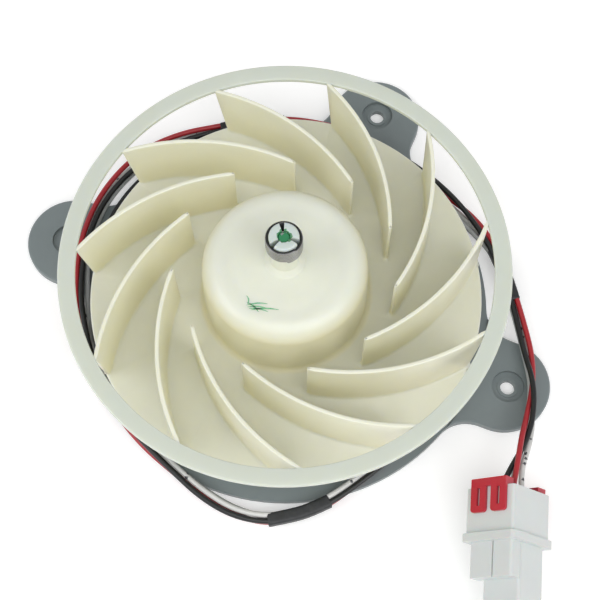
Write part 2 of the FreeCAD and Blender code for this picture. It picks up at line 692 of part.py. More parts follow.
def make_mounting_bracket():
    plate = make_plate()
    pedestal = Part.makeCone(pedestal_radius, pedestal_radius - pedestal_draft, pedestal_top)
    spigot_outer = can_radius - can_wall - loose_fit
    spigot = tube(spigot_outer, spigot_outer - spigot_wall, pedestal_top - weld, pedestal_top + spigot_height)
    rib_top = plate_thickness + rib_height
    rib_foot = plate_thickness - weld
    root = pedestal_radius - rib_root
    tip = pedestal_radius + rib_length
    rib_side = Part.Face(Part.makePolygon([
        V(root, 0, rib_foot), V(tip, 0, rib_foot), V(tip, 0, plate_thickness),
        V(pedestal_radius, 0, rib_top), V(root, 0, rib_top), V(root, 0, rib_foot)]))
    rib = rib_side.extrude(V(0, rib_width, 0))
    rib.translate(V(0, -rib_width / 2, 0))
    ribs = [turned(rib, rib_start_angle + n * 360.0 / rib_count) for n in range(rib_count)]
    bracket = fused([plate, pedestal, spigot] + ribs)

    cavity = cylinder(cavity_radius, -run_out, pedestal_ceiling)
    bracket = bracket.cut(cavity)
    bosses = [cylinder(bearing_boss_radius, boss_bottom, lower_bearing_top)]
    for place in cover_screw_places():
        bosses.append(cylinder(boss_radius, board_top, pedestal_ceiling + weld, place))
        bosses.append(cylinder(boss_pin_radius, cover_thickness, board_top + weld, place))
    bracket = fused([bracket] + bosses)

    cuts = [cylinder(bearing_radius + slip_fit, lower_bearing_bottom, lower_bearing_top + run_out),
            cylinder(shaft_radius + boss_shaft_gap, boss_bottom - run_out, lower_bearing_bottom + run_out),
            grommet_block(slip_fit, pedestal_radius + run_out)]
    for n in range(can_tab_count):
        cuts.append(turned(can_tab_shape(loose_fit, pedestal_top + run_out), n * 360.0 / can_tab_count))
    for place in pin_places():
        cuts.append(cylinder(pin_radius + pin_hole_gap, pedestal_ceiling - run_out, pedestal_top + run_out, place))
    for place in cover_screw_places():
        cuts.append(cylinder(screw_radius - screw_bite, cover_thickness - run_out,
                             cover_thickness + screw_length, place))
    for angle in ear_angles:
        hole = polar(ear_hole_circle_radius, angle)
        recess_floor = ear_thickness - ear_recess_depth
        cuts.append(cylinder(ear_hole_radius, -run_out, ear_thickness + run_out, hole))
        lip_outer = ear_hole_radius + ear_recess_lip
        lip_top = recess_floor + ear_recess_lip_height
        cuts.append(tube(ear_recess_radius, lip_outer, recess_floor, ear_thickness + run_out, hole))
        cuts.append(cylinder(lip_outer + slip_fit, lip_top, ear_thickness + run_out, hole))
    for cutter in cuts:
        bracket = bracket.cut(cutter)
    return bracket.removeSplitter()


def grommet_block(clearance, reach):
    """Block across the pedestal's wall where the leads come out."""
    inner = cavity_radius - grommet_lip
    width = grommet_width + 2 * clearance
    block = box((reach - inner, width, grommet_height + 2 * clearance),
                (inner, -width / 2, grommet_bottom - clearance))
    return turned(block, grommet_angle)


def make_wire_grommet():
    """Rubber block in the wall's window, with a lip inside the wall."""
    outer = pedestal_radius + grommet_stand_out
    block = grommet_block(0.0, outer)
    wide = grommet_width + 2 * grommet_lip
    inner = cavity_radius - grommet_lip
    lip = box((grommet_lip - slip_fit, wide, grommet_height), (inner, -wide / 2, grommet_bottom))
    wall = cylinder(cavity_radius - slip_fit, 0, pedestal_top)
    grommet = fused([block, turned(lip, grommet_angle).common(wall)])
    for route in (red_route, black_route, white_route, grey_route):
        grommet = grommet.cut(pipe(route[:3], wire_diameter / 2 + grommet_hole_gap))
    return grommet


def make_circuit_board():
    radius = cavity_radius - board_edge_gap
    board = tube(radius, bearing_boss_radius + board_hole_gap, board_bottom, board_top)
    for place in cover_screw_places():
        board = board.cut(cylinder(boss_pin_radius + loose_fit, board_bottom, board_top, place))
    for place in pin_places():
        board = board.cut(cylinder(pin_radius + running_fit, board_bottom, board_top, place))
    width = grommet_width + 2 * board_notch_side
    notch = box((board_notch_depth + run_out, width, board_thickness),
                (radius - board_notch_depth, -width / 2, board_bottom))
    return board.cut(turned(notch, grommet_angle))


def make_driver_chip():
    length, width, height = chip_size
    chip = box((width, length, height), (-width / 2, -length / 2, board_bottom - height))
    lower_edges = [e for e in chip.Edges if e.BoundBox.ZMax < board_bottom - height / 2]
    chip = chip.makeChamfer(chip_chamfer, lower_edges)
    chip.translate(V(chip_circle_radius, 0, 0))
    return turned(chip, chip_angle)


def make_hall_sensor():
    length, width, height = sensor_size
    sensor = box((width, length, height), (chip_circle_radius, -length / 2, board_top))
    return turned(sensor, sensor_angle)


def make_smoothing_capacitor():
    """Small electrolytic can lying on the board."""
    start = V(chip_circle_radius, -capacitor_length / 2, board_top + capacitor_radius)
    can = Part.makeCylinder(capacitor_radius, capacitor_length, start, V(0, 1, 0))
    return turned(can, capacitor_angle)


def make_rear_cover():
    cover = cylinder(cavity_radius - loose_fit, 0, cover_thickness)
    for place in cover_screw_places():
        cover = cover.cut(cylinder(screw_radius + loose_fit, -run_out, cover_thickness + run_out, place))
        cover = cover.cut(cylinder(screw_head_radius + loose_fit, -run_out, screw_head_height, place))
    return cover


def make_cover_screws():
    screws = []
    for place in cover_screw_places():
        head = cylinder(screw_head_radius, screw_setback, screw_head_height, place)
        shank = cylinder(screw_radius - screw_root_depth, screw_head_height,
                         screw_head_height + screw_length, place)
        slot = box((screw_slot_length, screw_slot_width, screw_slot_depth),
                   (place.x - screw_slot_length / 2, place.y - screw_slot_width / 2, 0))
        cross = slot.copy()
        cross.rotate(place, UP, 90)
        screws.append(head.fuse(shank).removeSplitter().cut(slot).cut(cross))
    return Part.makeCompound(screws)


def make_thrust_pad():
    return cylinder(thrust_pad_radius, cover_thickness, shaft_bottom - thrust_pad_gap)


# Connector, modelled about its own axis: X and Y across the housing, Z from the leads to the nose
def connector_placement():
    heading = math.radians(connector_heading)
    roll = math.radians(connector_roll)
    along = V(math.cos(heading), math.sin(heading), 0)
    side = V(-math.sin(heading), math.cos(heading), 0)
    face_run = side * math.cos(roll) + UP * math.sin(roll)
    back_run = side * math.sin(roll) - UP * math.cos(roll)
    turn = FreeCAD.Rotation(back_run, face_run, along, "ZXY")
    return FreeCAD.Placement(V(*connector_entry), turn)


def placed(shape):
    copy = shape.copy()
    copy.Placement = connector_placement().multiply(copy.Placement)
    return copy


def block(x, y, z, corner_radius=0.0):
    """Box from three (low, high) ranges, its long edges rounded."""
    shape = box((x[1] - x[0], y[1] - y[0], z[1] - z[0]), (x[0], y[0], z[0]))
    if corner_radius:
        shape = shape.makeFillet(corner_radius, [e for e in shape.Edges if abs(e.tangentAt(0).z) > 0.9])
    return shape


def cell_places():
    half = cell_pitch / 2
    return [(x, y) for x in (-half, half) for y in (-half, half)]


def make_connector_housing():
    half = connector_side / 2
    rim = half + rim_reach
    round_ = connector_corner_radius
    length = connector_length
    body = block((-half, half), (-half, half), (0, length), round_)
    flange = block((-rim, rim), (-rim, rim), (length - rim_height, length), round_ + rim_reach / 2)
    inset = half - nose_setback
    column_back = -inset + column_depth
    nose = block((column_back - weld, inset), (-half + 3 * nose_setback, inset),
                 (length - weld, length + nose_length), round_)
    columns = block((-inset, column_back), (-inset, inset), (length - weld, length + column_length), round_)
    housing = fused([body, flange, nose, columns])
    divide = block((-inset - run_out, -inset + column_gap), (column_gap, 2 * column_gap),
                   (length, length + column_length + run_out))
    housing = housing.cut(divide)
    reach = cell_side / 2
    for x, y in cell_places():
        housing = housing.cut(block((x - reach, x + reach), (y - reach, y + reach), (-run_out, cell_depth)))
        mouth_start = x - reach + (nose_mouth_wall if x > 0 else column_mouth_wall + nose_mouth_wall)
        mouth = block((mouth_start, x + reach), (y - reach + nose_mouth_wall, y + reach),
                      (length + nose_length - nose_mouth_depth, length + nose_length + run_out))
        housing = housing.cut(mouth)
    return placed(housing.removeSplitter())


def make_retainer(side):
    """Red comb that locks the terminals: two slotted loops on the housing's face, joined at its end."""
    half = connector_side / 2
    inner, outer = half + slip_fit, half + comb_thickness
    faces = (-outer, -inner) if side < 0 else (inner, outer)
    width = 2 * comb_loop_width + comb_loop_gap
    pieces = []
    for n in range(2):
        low = -width / 2 + n * (comb_loop_width + comb_loop_gap)
        loop = block(faces, (low, low + comb_loop_width), (-comb_overhang, comb_reach))
        loop = loop.makeFillet(comb_end_radius, [e for e in loop.Edges
                                     if abs(e.tangentAt(0).x) > 0.9 and e.BoundBox.ZMin > 0])
        middle = low + comb_loop_width / 2
        slit = block((faces[0] - run_out, faces[1] + run_out),
                     (middle - comb_slit_width / 2, middle + comb_slit_width / 2),
                     (comb_slit_start, comb_slit_end))
        pieces.append(loop.cut(slit))
    bar_top = -comb_overhang + comb_bar_height
    pieces.append(block(faces, (-width / 2, width / 2), (-comb_overhang, bar_top)))
    lip = (-outer, -outer + comb_lip) if side < 0 else (outer - comb_lip, outer)
    pieces.append(block(lip, (-width / 2, width / 2), (-comb_overhang, -slip_fit)))
    return placed(fused(pieces))


def make_terminals():
    barrels = []
    for x, y in cell_places():
        barrels.append(cylinder(terminal_radius, cell_depth - terminal_length + terminal_gap, cell_depth, V(x, y, 0)))
    return placed(Part.makeCompound(barrels))


# Leads
def route_wire(route):
    """Straight runs with tangent arcs at the corners; also gives the smallest arc radius."""
    points = [polar(*p) for p in route]
    edges, start, smallest = [], points[0], None
    for before, corner, after in zip(points, points[1:], points[2:]):
        back, ahead = before - corner, after - corner
        reach = wire_bend_share * min(back.Length, ahead.Length)
        half_turn = (math.pi - back.getAngle(ahead)) / 2
        radius = reach / math.tan(half_turn)
        smallest = radius if smallest is None else min(smallest, radius)
        back.normalize()
        ahead.normalize()
        first, last = corner + back * reach, corner + ahead * reach
        inward = (back + ahead).normalize()
        middle = corner + inward * (radius / math.cos(half_turn) - radius)
        edges += [line(start, first), arc(first, middle, last)]
        start = last
    edges.append(line(start, points[-1]))
    return Part.Wire(edges), smallest


def pipe(route, radius):
    """Round bar along a route."""
    path, smallest = route_wire(route)
    start = path.Edges[0].firstVertex(True).Point
    circle = Part.makeCircle(radius, start, path.Edges[0].tangentAt(0))
    return path.makePipeShell([Part.Wire([circle])], True, False)


def make_lead(name, route):
    path, smallest = route_wire(route)
    lead = pipe(route, wire_diameter / 2)
    section = math.pi * wire_diameter ** 2 / 4
    print("%s: length %.1f, smallest bend radius %.2f, volume / (section * length) %.4f"
          % (name, path.Length, smallest, lead.Volume / (section * path.Length)))
    return lead


def make_sleeve(name, route):
    """Rounded square wrap round the four leads, swept along their middle line.

    It starts half way round the route's first bend and ends half way round its last.
    """
    whole, smallest = route_wire(route)
    first, last = whole.Edges[1], whole.Edges[-2]
    start, end = first.ParameterRange
    first = first.Curve.toShape((start + end) / 2, end)
    start, end = last.ParameterRange
    last = last.Curve.toShape(start, (start + end) / 2)
    path = Part.Wire([first] + whole.Edges[2:-2] + [last])
    edge = path.Edges[0]
    start, along = edge.firstVertex(True).Point, edge.tangentAt(0)
    across = UP.cross(along)
    turn = FreeCAD.Placement(start, FreeCAD.Rotation(across, UP, along, "ZXY"))

    def swept(side, corner):
        outline = block((-side / 2, side / 2), (-side / 2, side / 2), (0, side), corner)
        face = min(outline.Faces, key=lambda f: f.BoundBox.ZMax)
        profile_wire = face.OuterWire.copy()
        profile_wire.Placement = turn
        return path.makePipeShell([profile_wire], True, False)

    sleeve = swept(sleeve_bore_side + 2 * sleeve_wall, sleeve_corner_radius)
    sleeve = sleeve.cut(swept(sleeve_bore_side, sleeve_corner_radius - sleeve_wall))
    print("%s: length %.1f, smallest bend radius %.2f" % (name, path.Length, smallest))
    return sleeve


os.makedirs("parts", exist_ok=True)
save("impeller", make_impeller())
save("spring_clip", make_spring_clip())
save("motor_shaft", make_motor_shaft())
save("shaft_clip", make_shaft_clip())
save("rotor_sleeve", make_rotor_sleeve())
save("rotor_magnet", make_rotor_magnet())
save("upper_washers", make_washers(rotor_sleeve_top))
save("lower_washers", make_washers(rotor_sleeve_bottom - washer_stack))
save("upper_bearing", make_bearing(can_ceiling, upper_bearing_length))
save("lower_bearing", make_bearing(lower_bearing_bottom, lower_bearing_length))
save("bearing_retainer", make_bearing_retainer())
save("motor_can", make_motor_can())
save("stator_core", make_stator_core())
save("upper_insulator", make_insulator(stator_top, 1))
save("lower_insulator", make_insulator(stator_bottom, -1))
save("stator_coils", make_stator_coils())
save("winding_pins", make_winding_pins())
save("circuit_board", make_circuit_board())
save("driver_chip", make_driver_chip())
save("hall_sensor", make_hall_sensor())
save("smoothing_capacitor", make_smoothing_capacitor())
save("mounting_bracket", make_mounting_bracket())
save("rear_cover", make_rear_cover())
save("cover_screws", make_cover_screws())
save("thrust_pad", make_thrust_pad())
save("wire_grommet", make_wire_grommet())
save("connector_housing", make_connector_housing())
save("front_retainer", make_retainer(-1))
save("rear_retainer", make_retainer(1))
save("terminals", make_terminals())
save("wire_red", make_lead("wire_red", red_route))
save("wire_black", make_lead("wire_black", black_route))
save("wire_white", make_lead("wire_white", white_route))
save("wire_grey", make_lead("wire_grey", grey_route))
save("lower_sleeve", make_sleeve("lower_sleeve", lower_sleeve_route))
save("upper_sleeve", make_sleeve("upper_sleeve", upper_sleeve_route))
save("end_sleeve", make_sleeve("end_sleeve", end_sleeve_route))
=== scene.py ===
"""Fan motor of a refrigerator: finishes, leads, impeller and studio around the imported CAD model.

Lengths are metres and angles degrees. The fan axis is Z, the bracket stands on z = 0 and +X points at
the right ear.
"""
import json
import math

import bmesh
import bpy
import numpy as np
from mathutils import Euler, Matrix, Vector


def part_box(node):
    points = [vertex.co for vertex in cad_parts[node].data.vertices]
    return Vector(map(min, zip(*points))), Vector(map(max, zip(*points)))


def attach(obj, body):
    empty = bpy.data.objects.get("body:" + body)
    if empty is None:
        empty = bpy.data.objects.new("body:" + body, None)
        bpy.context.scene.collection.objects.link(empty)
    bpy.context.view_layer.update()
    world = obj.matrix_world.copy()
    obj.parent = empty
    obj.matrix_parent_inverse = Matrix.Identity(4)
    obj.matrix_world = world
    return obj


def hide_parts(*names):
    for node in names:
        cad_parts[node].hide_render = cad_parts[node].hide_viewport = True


bl_info = {
    "name": "Fan Motor Finisher",
    "version": (1, 0, 0),
    "blender": (4, 5, 0),
    "location": "View3D > Sidebar > Fan Motor",
    "description": "Dresses a packed fan motor with its impeller, leads, finishes and studio",
    "category": "Object",
}

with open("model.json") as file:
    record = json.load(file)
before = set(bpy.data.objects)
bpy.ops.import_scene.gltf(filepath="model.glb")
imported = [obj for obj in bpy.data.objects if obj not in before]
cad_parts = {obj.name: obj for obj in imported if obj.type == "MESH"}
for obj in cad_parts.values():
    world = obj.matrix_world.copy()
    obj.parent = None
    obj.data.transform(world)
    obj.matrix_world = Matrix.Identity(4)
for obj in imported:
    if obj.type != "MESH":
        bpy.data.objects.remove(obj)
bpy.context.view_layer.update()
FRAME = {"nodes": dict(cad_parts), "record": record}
RECORD_COLOURS = {m["slot"]: tuple(m["base_color"][:3]) for m in FRAME["record"]["materials"]}
_, IMPELLER_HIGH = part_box("impeller")
COIL_LOW, COIL_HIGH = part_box("spring_clip")
_, SHAFT_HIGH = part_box("motor_shaft")

# The raised land on the hub's top face: radii where its slope starts and ends, and its height
LAND_FOOT_RADIUS = 0.0150
LAND_EDGE_RADIUS = 0.0125
LAND_HEIGHT = 0.0003

GREEN_PAINT = (0.03, 0.22, 0.09)
MERGE_DISTANCE = 1e-6

# Routes of the leads and the wraps on them: distance from the fan axis, angle, height. Distances and
# heights are listed one by one, some near readings of the photograph. The leads' angles are those of
# the
# CAD model's lists, rounded, and so are each lead's first two and last three points.
RED_ROUTE = [
    (0.0244, 248.6, 0.0056), (0.0325, 249.2, 0.0056), (0.0401, 241.5, 0.0053), (0.0484, 229, 0.0050),
    (0.0520, 216, 0.0050), (0.0544, 202, 0.0051), (0.0565, 187, 0.0059), (0.0578, 172, 0.0059),
    (0.0578, 157, 0.0059), (0.0569, 142, 0.0059), (0.0547, 127, 0.0059), (0.0541, 112, 0.0059),
    (0.0539, 97, 0.0059), (0.0535, 82, 0.0055), (0.0527, 67, 0.0053), (0.0522, 52, 0.0050),
    (0.0520, 37, 0.0050), (0.0518, 22, 0.0050), (0.0516, 7, 0.0050), (0.0522, 352, 0.0049),
    (0.0534, 337, 0.0036), (0.0548, 325, 0.0034), (0.0570, 314, 0.0034), (0.06125, 303.5, 0.00355),
    (0.06365, 295.5, 0.00355), (0.06555, 287.5, 0.00355), (0.0646, 279, 0.0042), (0.0620, 270, 0.0042),
    (0.0599, 260, 0.0046), (0.0593, 249, 0.0050), (0.0590, 237, 0.0048), (0.0594, 224, 0.0048),
    (0.0603, 212, 0.0049), (0.0620, 200, 0.0056), (0.0644, 185, 0.0059), (0.0663, 170, 0.0057),
    (0.0666, 155, 0.0056), (0.0643, 143, 0.0057), (0.06105, 131, 0.00585), (0.06055, 122, 0.00585),
    (0.06015, 113, 0.00585), (0.0596, 103, 0.0059), (0.0591, 90, 0.0058), (0.0584, 75, 0.0056),
    (0.0580, 60, 0.0052), (0.0626, 48, 0.0045), (0.06465, 37.5, 0.00525), (0.06585, 30, 0.00525),
    (0.06745, 22.5, 0.00525), (0.0698, 15, 0.0056), (0.0727, 8, 0.0069), (0.0751, 1, 0.0075),
    (0.0765, 354, 0.0092), (0.0782, 348, 0.0130), (0.0817, 342.5, 0.0138), (0.0849, 338, 0.0154),
    (0.0886, 334.5, 0.0168)]
BLACK_ROUTE = [
    (0.0244, 253.4, 0.0056), (0.0325, 252.8, 0.0056), (0.0413, 244, 0.0053), (0.0506, 232, 0.0050),
    (0.0542, 218.5, 0.0050), (0.0561, 202, 0.0051), (0.0582, 187, 0.0059), (0.0595, 172, 0.0059),
    (0.0595, 157, 0.0059), (0.0586, 142, 0.0059), (0.0564, 127, 0.0059), (0.0558, 112, 0.0059),
    (0.0556, 97, 0.0059), (0.0552, 82, 0.0055), (0.0544, 67, 0.0053), (0.0539, 52, 0.0050),
    (0.0537, 37, 0.0050), (0.0535, 22, 0.0050), (0.0533, 7, 0.0050), (0.0542, 352, 0.0056),
    (0.0546, 337, 0.0056), (0.0553, 325, 0.0052), (0.0577, 314, 0.0052), (0.06125, 303.5, 0.00525),
    (0.06365, 295.5, 0.00525), (0.06555, 287.5, 0.00525), (0.0653, 279, 0.0059), (0.0630, 270, 0.0060),
    (0.0600, 260, 0.0064), (0.0586, 249, 0.0066), (0.0585, 237, 0.0066), (0.0585, 224, 0.0066),
    (0.0588, 212, 0.0066), (0.0604, 200, 0.0064), (0.0625, 185, 0.0060), (0.0642, 170, 0.0058),
    (0.0636, 155, 0.0055), (0.0618, 143, 0.0057), (0.05935, 131, 0.00585), (0.05885, 122, 0.00585),
    (0.05845, 113, 0.00585), (0.0579, 103, 0.0059), (0.0573, 90, 0.0064), (0.0579, 75, 0.0076),
    (0.0594, 60, 0.0069), (0.0611, 48, 0.0062), (0.06295, 37.5, 0.00525), (0.06415, 30, 0.00525),
    (0.06575, 22.5, 0.00525), (0.0677, 15, 0.0056), (0.0703, 8, 0.0073), (0.0750, 1, 0.0096),
    (0.0783, 354, 0.0104), (0.0799, 348, 0.0112), (0.0805, 342, 0.0123), (0.0825, 336.5, 0.0123),
    (0.0853, 332.5, 0.0123)]
WHITE_ROUTE = [
    (0.0246, 243.8, 0.0056), (0.0326, 245.6, 0.0056), (0.0395, 238.5, 0.0046), (0.0465, 225, 0.0036),
    (0.0512, 213, 0.0034), (0.0544, 202, 0.0034), (0.0565, 187, 0.0042), (0.0578, 172, 0.0042),
    (0.0578, 157, 0.0042), (0.0569, 142, 0.0042), (0.0547, 127, 0.0042), (0.0541, 112, 0.0042),
    (0.0539, 97, 0.0042), (0.0535, 82, 0.0038), (0.0527, 67, 0.0036), (0.0522, 52, 0.0033),
    (0.0520, 37, 0.0033), (0.0518, 22, 0.0033), (0.0516, 7, 0.0032), (0.0493, 352, 0.0034),
    (0.0502, 337, 0.0050), (0.0535, 325, 0.0052), (0.0560, 314, 0.0052), (0.05955, 303.5, 0.00525),
    (0.06195, 295.5, 0.00525), (0.06385, 287.5, 0.00525), (0.0635, 279, 0.0058), (0.0609, 270, 0.0056),
    (0.0583, 260, 0.0052), (0.0572, 249, 0.0049), (0.0572, 237, 0.0049), (0.0576, 224, 0.0048),
    (0.0586, 212, 0.0049), (0.0606, 200, 0.0043), (0.0637, 185, 0.0042), (0.0655, 170, 0.0041),
    (0.0652, 155, 0.0040), (0.0635, 143, 0.0041), (0.06105, 131, 0.00415), (0.06055, 122, 0.00415),
    (0.06015, 113, 0.00415), (0.0595, 103, 0.0042), (0.0591, 90, 0.0041), (0.0584, 75, 0.0039),
    (0.0576, 60, 0.0034), (0.0606, 48, 0.0031), (0.06465, 37.5, 0.00355), (0.06585, 30, 0.00355),
    (0.06745, 22.5, 0.00355), (0.0695, 15, 0.0038), (0.0722, 8, 0.0044), (0.0750, 1, 0.0041),
    (0.0788, 354, 0.0064), (0.0812, 348, 0.0099), (0.0829, 343, 0.0123), (0.0874, 339, 0.0123),
    (0.0920, 336.5, 0.0123)]
GREY_ROUTE = [
    (0.0246, 258.2, 0.0056), (0.0326, 256.4, 0.0056), (0.0424, 246.5, 0.0046), (0.0520, 235, 0.0036),
    (0.0552, 220.5, 0.0034), (0.0561, 202, 0.0034), (0.0582, 187, 0.0042), (0.0595, 172, 0.0042),
    (0.0595, 157, 0.0042), (0.0586, 142, 0.0042), (0.0564, 127, 0.0042), (0.0558, 112, 0.0042),
    (0.0556, 97, 0.0042), (0.0552, 82, 0.0038), (0.0544, 67, 0.0036), (0.0539, 52, 0.0033),
    (0.0537, 37, 0.0033), (0.0535, 22, 0.0033), (0.0533, 7, 0.0032), (0.0512, 352, 0.0032),
    (0.0512, 337, 0.0032), (0.0531, 325, 0.0033), (0.0552, 314, 0.0034), (0.05955, 303.5, 0.00355),
    (0.06195, 295.5, 0.00355), (0.06385, 287.5, 0.00355), (0.0628, 279, 0.0039), (0.0603, 270, 0.0036),
    (0.0583, 260, 0.0033), (0.0573, 249, 0.0031), (0.0574, 237, 0.0031), (0.0580, 224, 0.0030),
    (0.0584, 212, 0.0031), (0.0586, 200, 0.0037), (0.0620, 185, 0.0042), (0.0638, 170, 0.0041),
    (0.0635, 155, 0.0038), (0.0618, 143, 0.0040), (0.05935, 131, 0.00415), (0.05885, 122, 0.00415),
    (0.05845, 113, 0.00415), (0.0578, 103, 0.0041), (0.0574, 90, 0.0041), (0.0567, 75, 0.0040),
    (0.0559, 60, 0.0036), (0.0589, 48, 0.0031), (0.06295, 37.5, 0.00355), (0.06415, 30, 0.00355),
    (0.06575, 22.5, 0.00355), (0.0678, 15, 0.0038), (0.0706, 8, 0.0056), (0.0749, 1, 0.0058),
    (0.0768, 354, 0.0075), (0.0794, 348, 0.0095), (0.0817, 342.5, 0.0108), (0.0849, 338, 0.0092),
    (0.0886, 334.5, 0.0078)]
LOWER_SLEEVE_ROUTE = [
    (0.0604, 303.5, 0.0044), (0.0618, 299, 0.0044), (0.0632, 294, 0.0044), (0.0647, 287.5, 0.0044)]
UPPER_SLEEVE_ROUTE = [
    (0.0602, 131.5, 0.0050), (0.0600, 126, 0.0050), (0.0597, 119, 0.0050), (0.0593, 112.5, 0.0050)]
END_SLEEVE_ROUTE = [
    (0.0638, 37, 0.0044), (0.0646, 32, 0.0044), (0.0657, 27, 0.0044), (0.0667, 22, 0.0044)]


def polar(radius, angle, height=0.0):
    turn = math.radians(angle)
    return Vector((radius * math.cos(turn), radius * math.sin(turn), height))


def route_points(route):
    return [polar(*point) for point in route]


def length_setting(name, description, default):
    return bpy.props.FloatProperty(name=name, description=description, default=default,
                                   unit="LENGTH", precision=4)


def angle_setting(name, description, degrees):
    return bpy.props.FloatProperty(name=name, description=description, default=math.radians(degrees),
                                   unit="ROTATION")


# Sizes and colours a user would change
class ImpellerSettings(bpy.types.PropertyGroup):
    ring_radius: length_setting("Ring radius", "Outside radius of the flat top ring", IMPELLER_HIGH.x)
    ring_width: length_setting("Ring width", "Width of the flat top ring", 0.0048)
    ring_thickness: length_setting("Ring thickness", "Thickness of the flat top ring", 0.0015)
    ring_top: length_setting("Ring height", "Height of the ring's top face", 0.034)
    disc_radius: length_setting("Disc radius", "Radius of the back disc", 0.0562)
    disc_top: length_setting("Disc height", "Height of the back disc's top face", 0.0128)
    hub_radius: length_setting("Hub radius", "Radius of the hub where it meets the disc", 0.0233)
    hub_top: length_setting("Hub height", "Height of the hub's top face", 0.036)
    blade_count: bpy.props.IntProperty(
        name="Blades", description="Number of curved blades", default=11, min=3, max=40)
    blade_thickness: length_setting("Blade thickness", "Thickness of a blade at its top edge", 0.0011)
    plastic: bpy.props.FloatVectorProperty(
        name="Plastic", description="Colour of the translucent moulding",
        default=RECORD_COLOURS["impeller_plastic"], size=3, min=0, max=1, subtype="COLOR")


class LeadSettings(bpy.types.PropertyGroup):
    diameter: length_setting("Lead diameter", "Outside diameter of one lead", 0.0016)
    wrap_side: length_setting("Wrap width", "Outside width of the black wraps", 0.0037)


class StudioSettings(bpy.types.PropertyGroup):
    camera_place: bpy.props.FloatVectorProperty(
        name="Camera place", description="Where the camera stands",
        default=(0.056447, -0.126991, 0.3647), size=3, unit="LENGTH", precision=5)
    camera_tilt: angle_setting("Camera tilt", "Turn of the camera from straight down", 21.158)
    camera_azimuth: angle_setting("Camera azimuth", "Turn of the camera about the fan axis", 22.3)
    camera_roll: angle_setting("Camera roll", "Turn of the camera about its own view", -0.51)
    camera_lens: bpy.props.FloatProperty(
        name="Lens", description="Focal length in millimetres on a 36 mm sensor", default=79.0)


# Mesh making
class Shell:
    """Collects grids of points into one mesh; each grid is joined to its neighbours by quads."""

    def __init__(self):
        self.points = []
        self.faces = []
        self.count = 0

    def add(self, grid, close_u=False, close_v=False, flip=False):
        """grid[i, j] is a point; faces join it to i + 1 and j + 1, round the end where closed."""
        rows, columns = grid.shape[:2]
        index = np.arange(rows * columns).reshape(rows, columns) + self.count
        if close_u:
            index = np.vstack([index, index[:1]])
        if close_v:
            index = np.hstack([index, index[:, :1]])
        quads = np.stack([index[:-1, :-1], index[1:, :-1], index[1:, 1:], index[:-1, 1:]], axis=-1)
        quads = quads.reshape(-1, 4)
        if flip:
            quads = quads[:, ::-1]
        self.points.append(grid.reshape(-1, 3))
        self.faces.append(quads)
        self.count += rows * columns

    def add_caps(self, grid, flips=(True, False)):
        """Closes a grid's first and last loop, each with a fan about its middle."""
        for row, flip in zip((grid[0], grid[-1]), flips):
            middle = np.tile(row.mean(axis=0), (len(row), 1))
            self.add(np.stack([middle, row]), close_v=True, flip=flip)

    def add_revolved(self, profile, segments, start=0.0, sweep=360.0, capped=False):
        """Turns a closed (radius, height) profile about Z; a part turn can be capped at both ends."""
        whole = sweep >= 360.0
        steps = segments if whole else segments + 1
        turns = np.radians(start + sweep * np.arange(steps) / segments)
        radius, height = profile[:, 0], profile[:, 1]
        grid = np.stack([np.outer(np.cos(turns), radius), np.outer(np.sin(turns), radius),
                         np.tile(height, (steps, 1))], axis=-1)
        self.add(grid, close_u=whole, close_v=True)
        if capped and not whole:
            self.add_caps(grid, flips=(False, True))

    def mesh(self, name):
        mesh = bpy.data.meshes.new(name)
        mesh.from_pydata(np.concatenate(self.points), [], np.concatenate(self.faces).tolist())
        mesh.validate()
        return mesh


def new_object(name, data):
    made = bpy.data.objects.new(name, data)
    bpy.context.scene.collection.objects.link(made)
    return made


def clean_mesh(mesh):
    """Merges doubles and points the faces outwards."""
    work = bmesh.new()
    work.from_mesh(mesh)
    bmesh.ops.remove_doubles(work, verts=work.verts, dist=MERGE_DISTANCE)
    bmesh.ops.dissolve_degenerate(work, edges=work.edges, dist=MERGE_DISTANCE)
    bmesh.ops.recalc_face_normals(work, faces=work.faces)
    work.to_mesh(mesh)
    work.free()


def united(first, second):
    """One closed mesh from two, without the walls inside it."""
    pair = []
    for mesh in (first, second):
        clean_mesh(mesh)
        pair.append(new_object(mesh.name, mesh))
    union = pair[0].modifiers.new("union", "BOOLEAN")
    union.operation, union.solver, union.object = "UNION", "EXACT", pair[1]
    graph = bpy.context.evaluated_depsgraph_get()
    mesh = bpy.data.meshes.new_from_object(pair[0].evaluated_get(graph))
    for piece in pair:
        bpy.data.objects.remove(piece)
    return mesh


def tube_mesh(name, grid):
    """A closed tube through a grid's loops."""
    shell = Shell()
    shell.add(grid, close_v=True)
    shell.add_caps(grid)
    mesh = shell.mesh(name)
    clean_mesh(mesh)
    return mesh


def new_piece(name, mesh, material, body, smooth_angle=40.0):
    """Makes an object of a mesh at the origin, smooth up to an angle, riding on a body."""
    piece = new_object(name, mesh)
    mesh.materials.append(material)
    mesh.shade_smooth()
    mesh.set_sharp_from_angle(angle=math.radians(smooth_angle))
    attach(piece, body)
    return piece


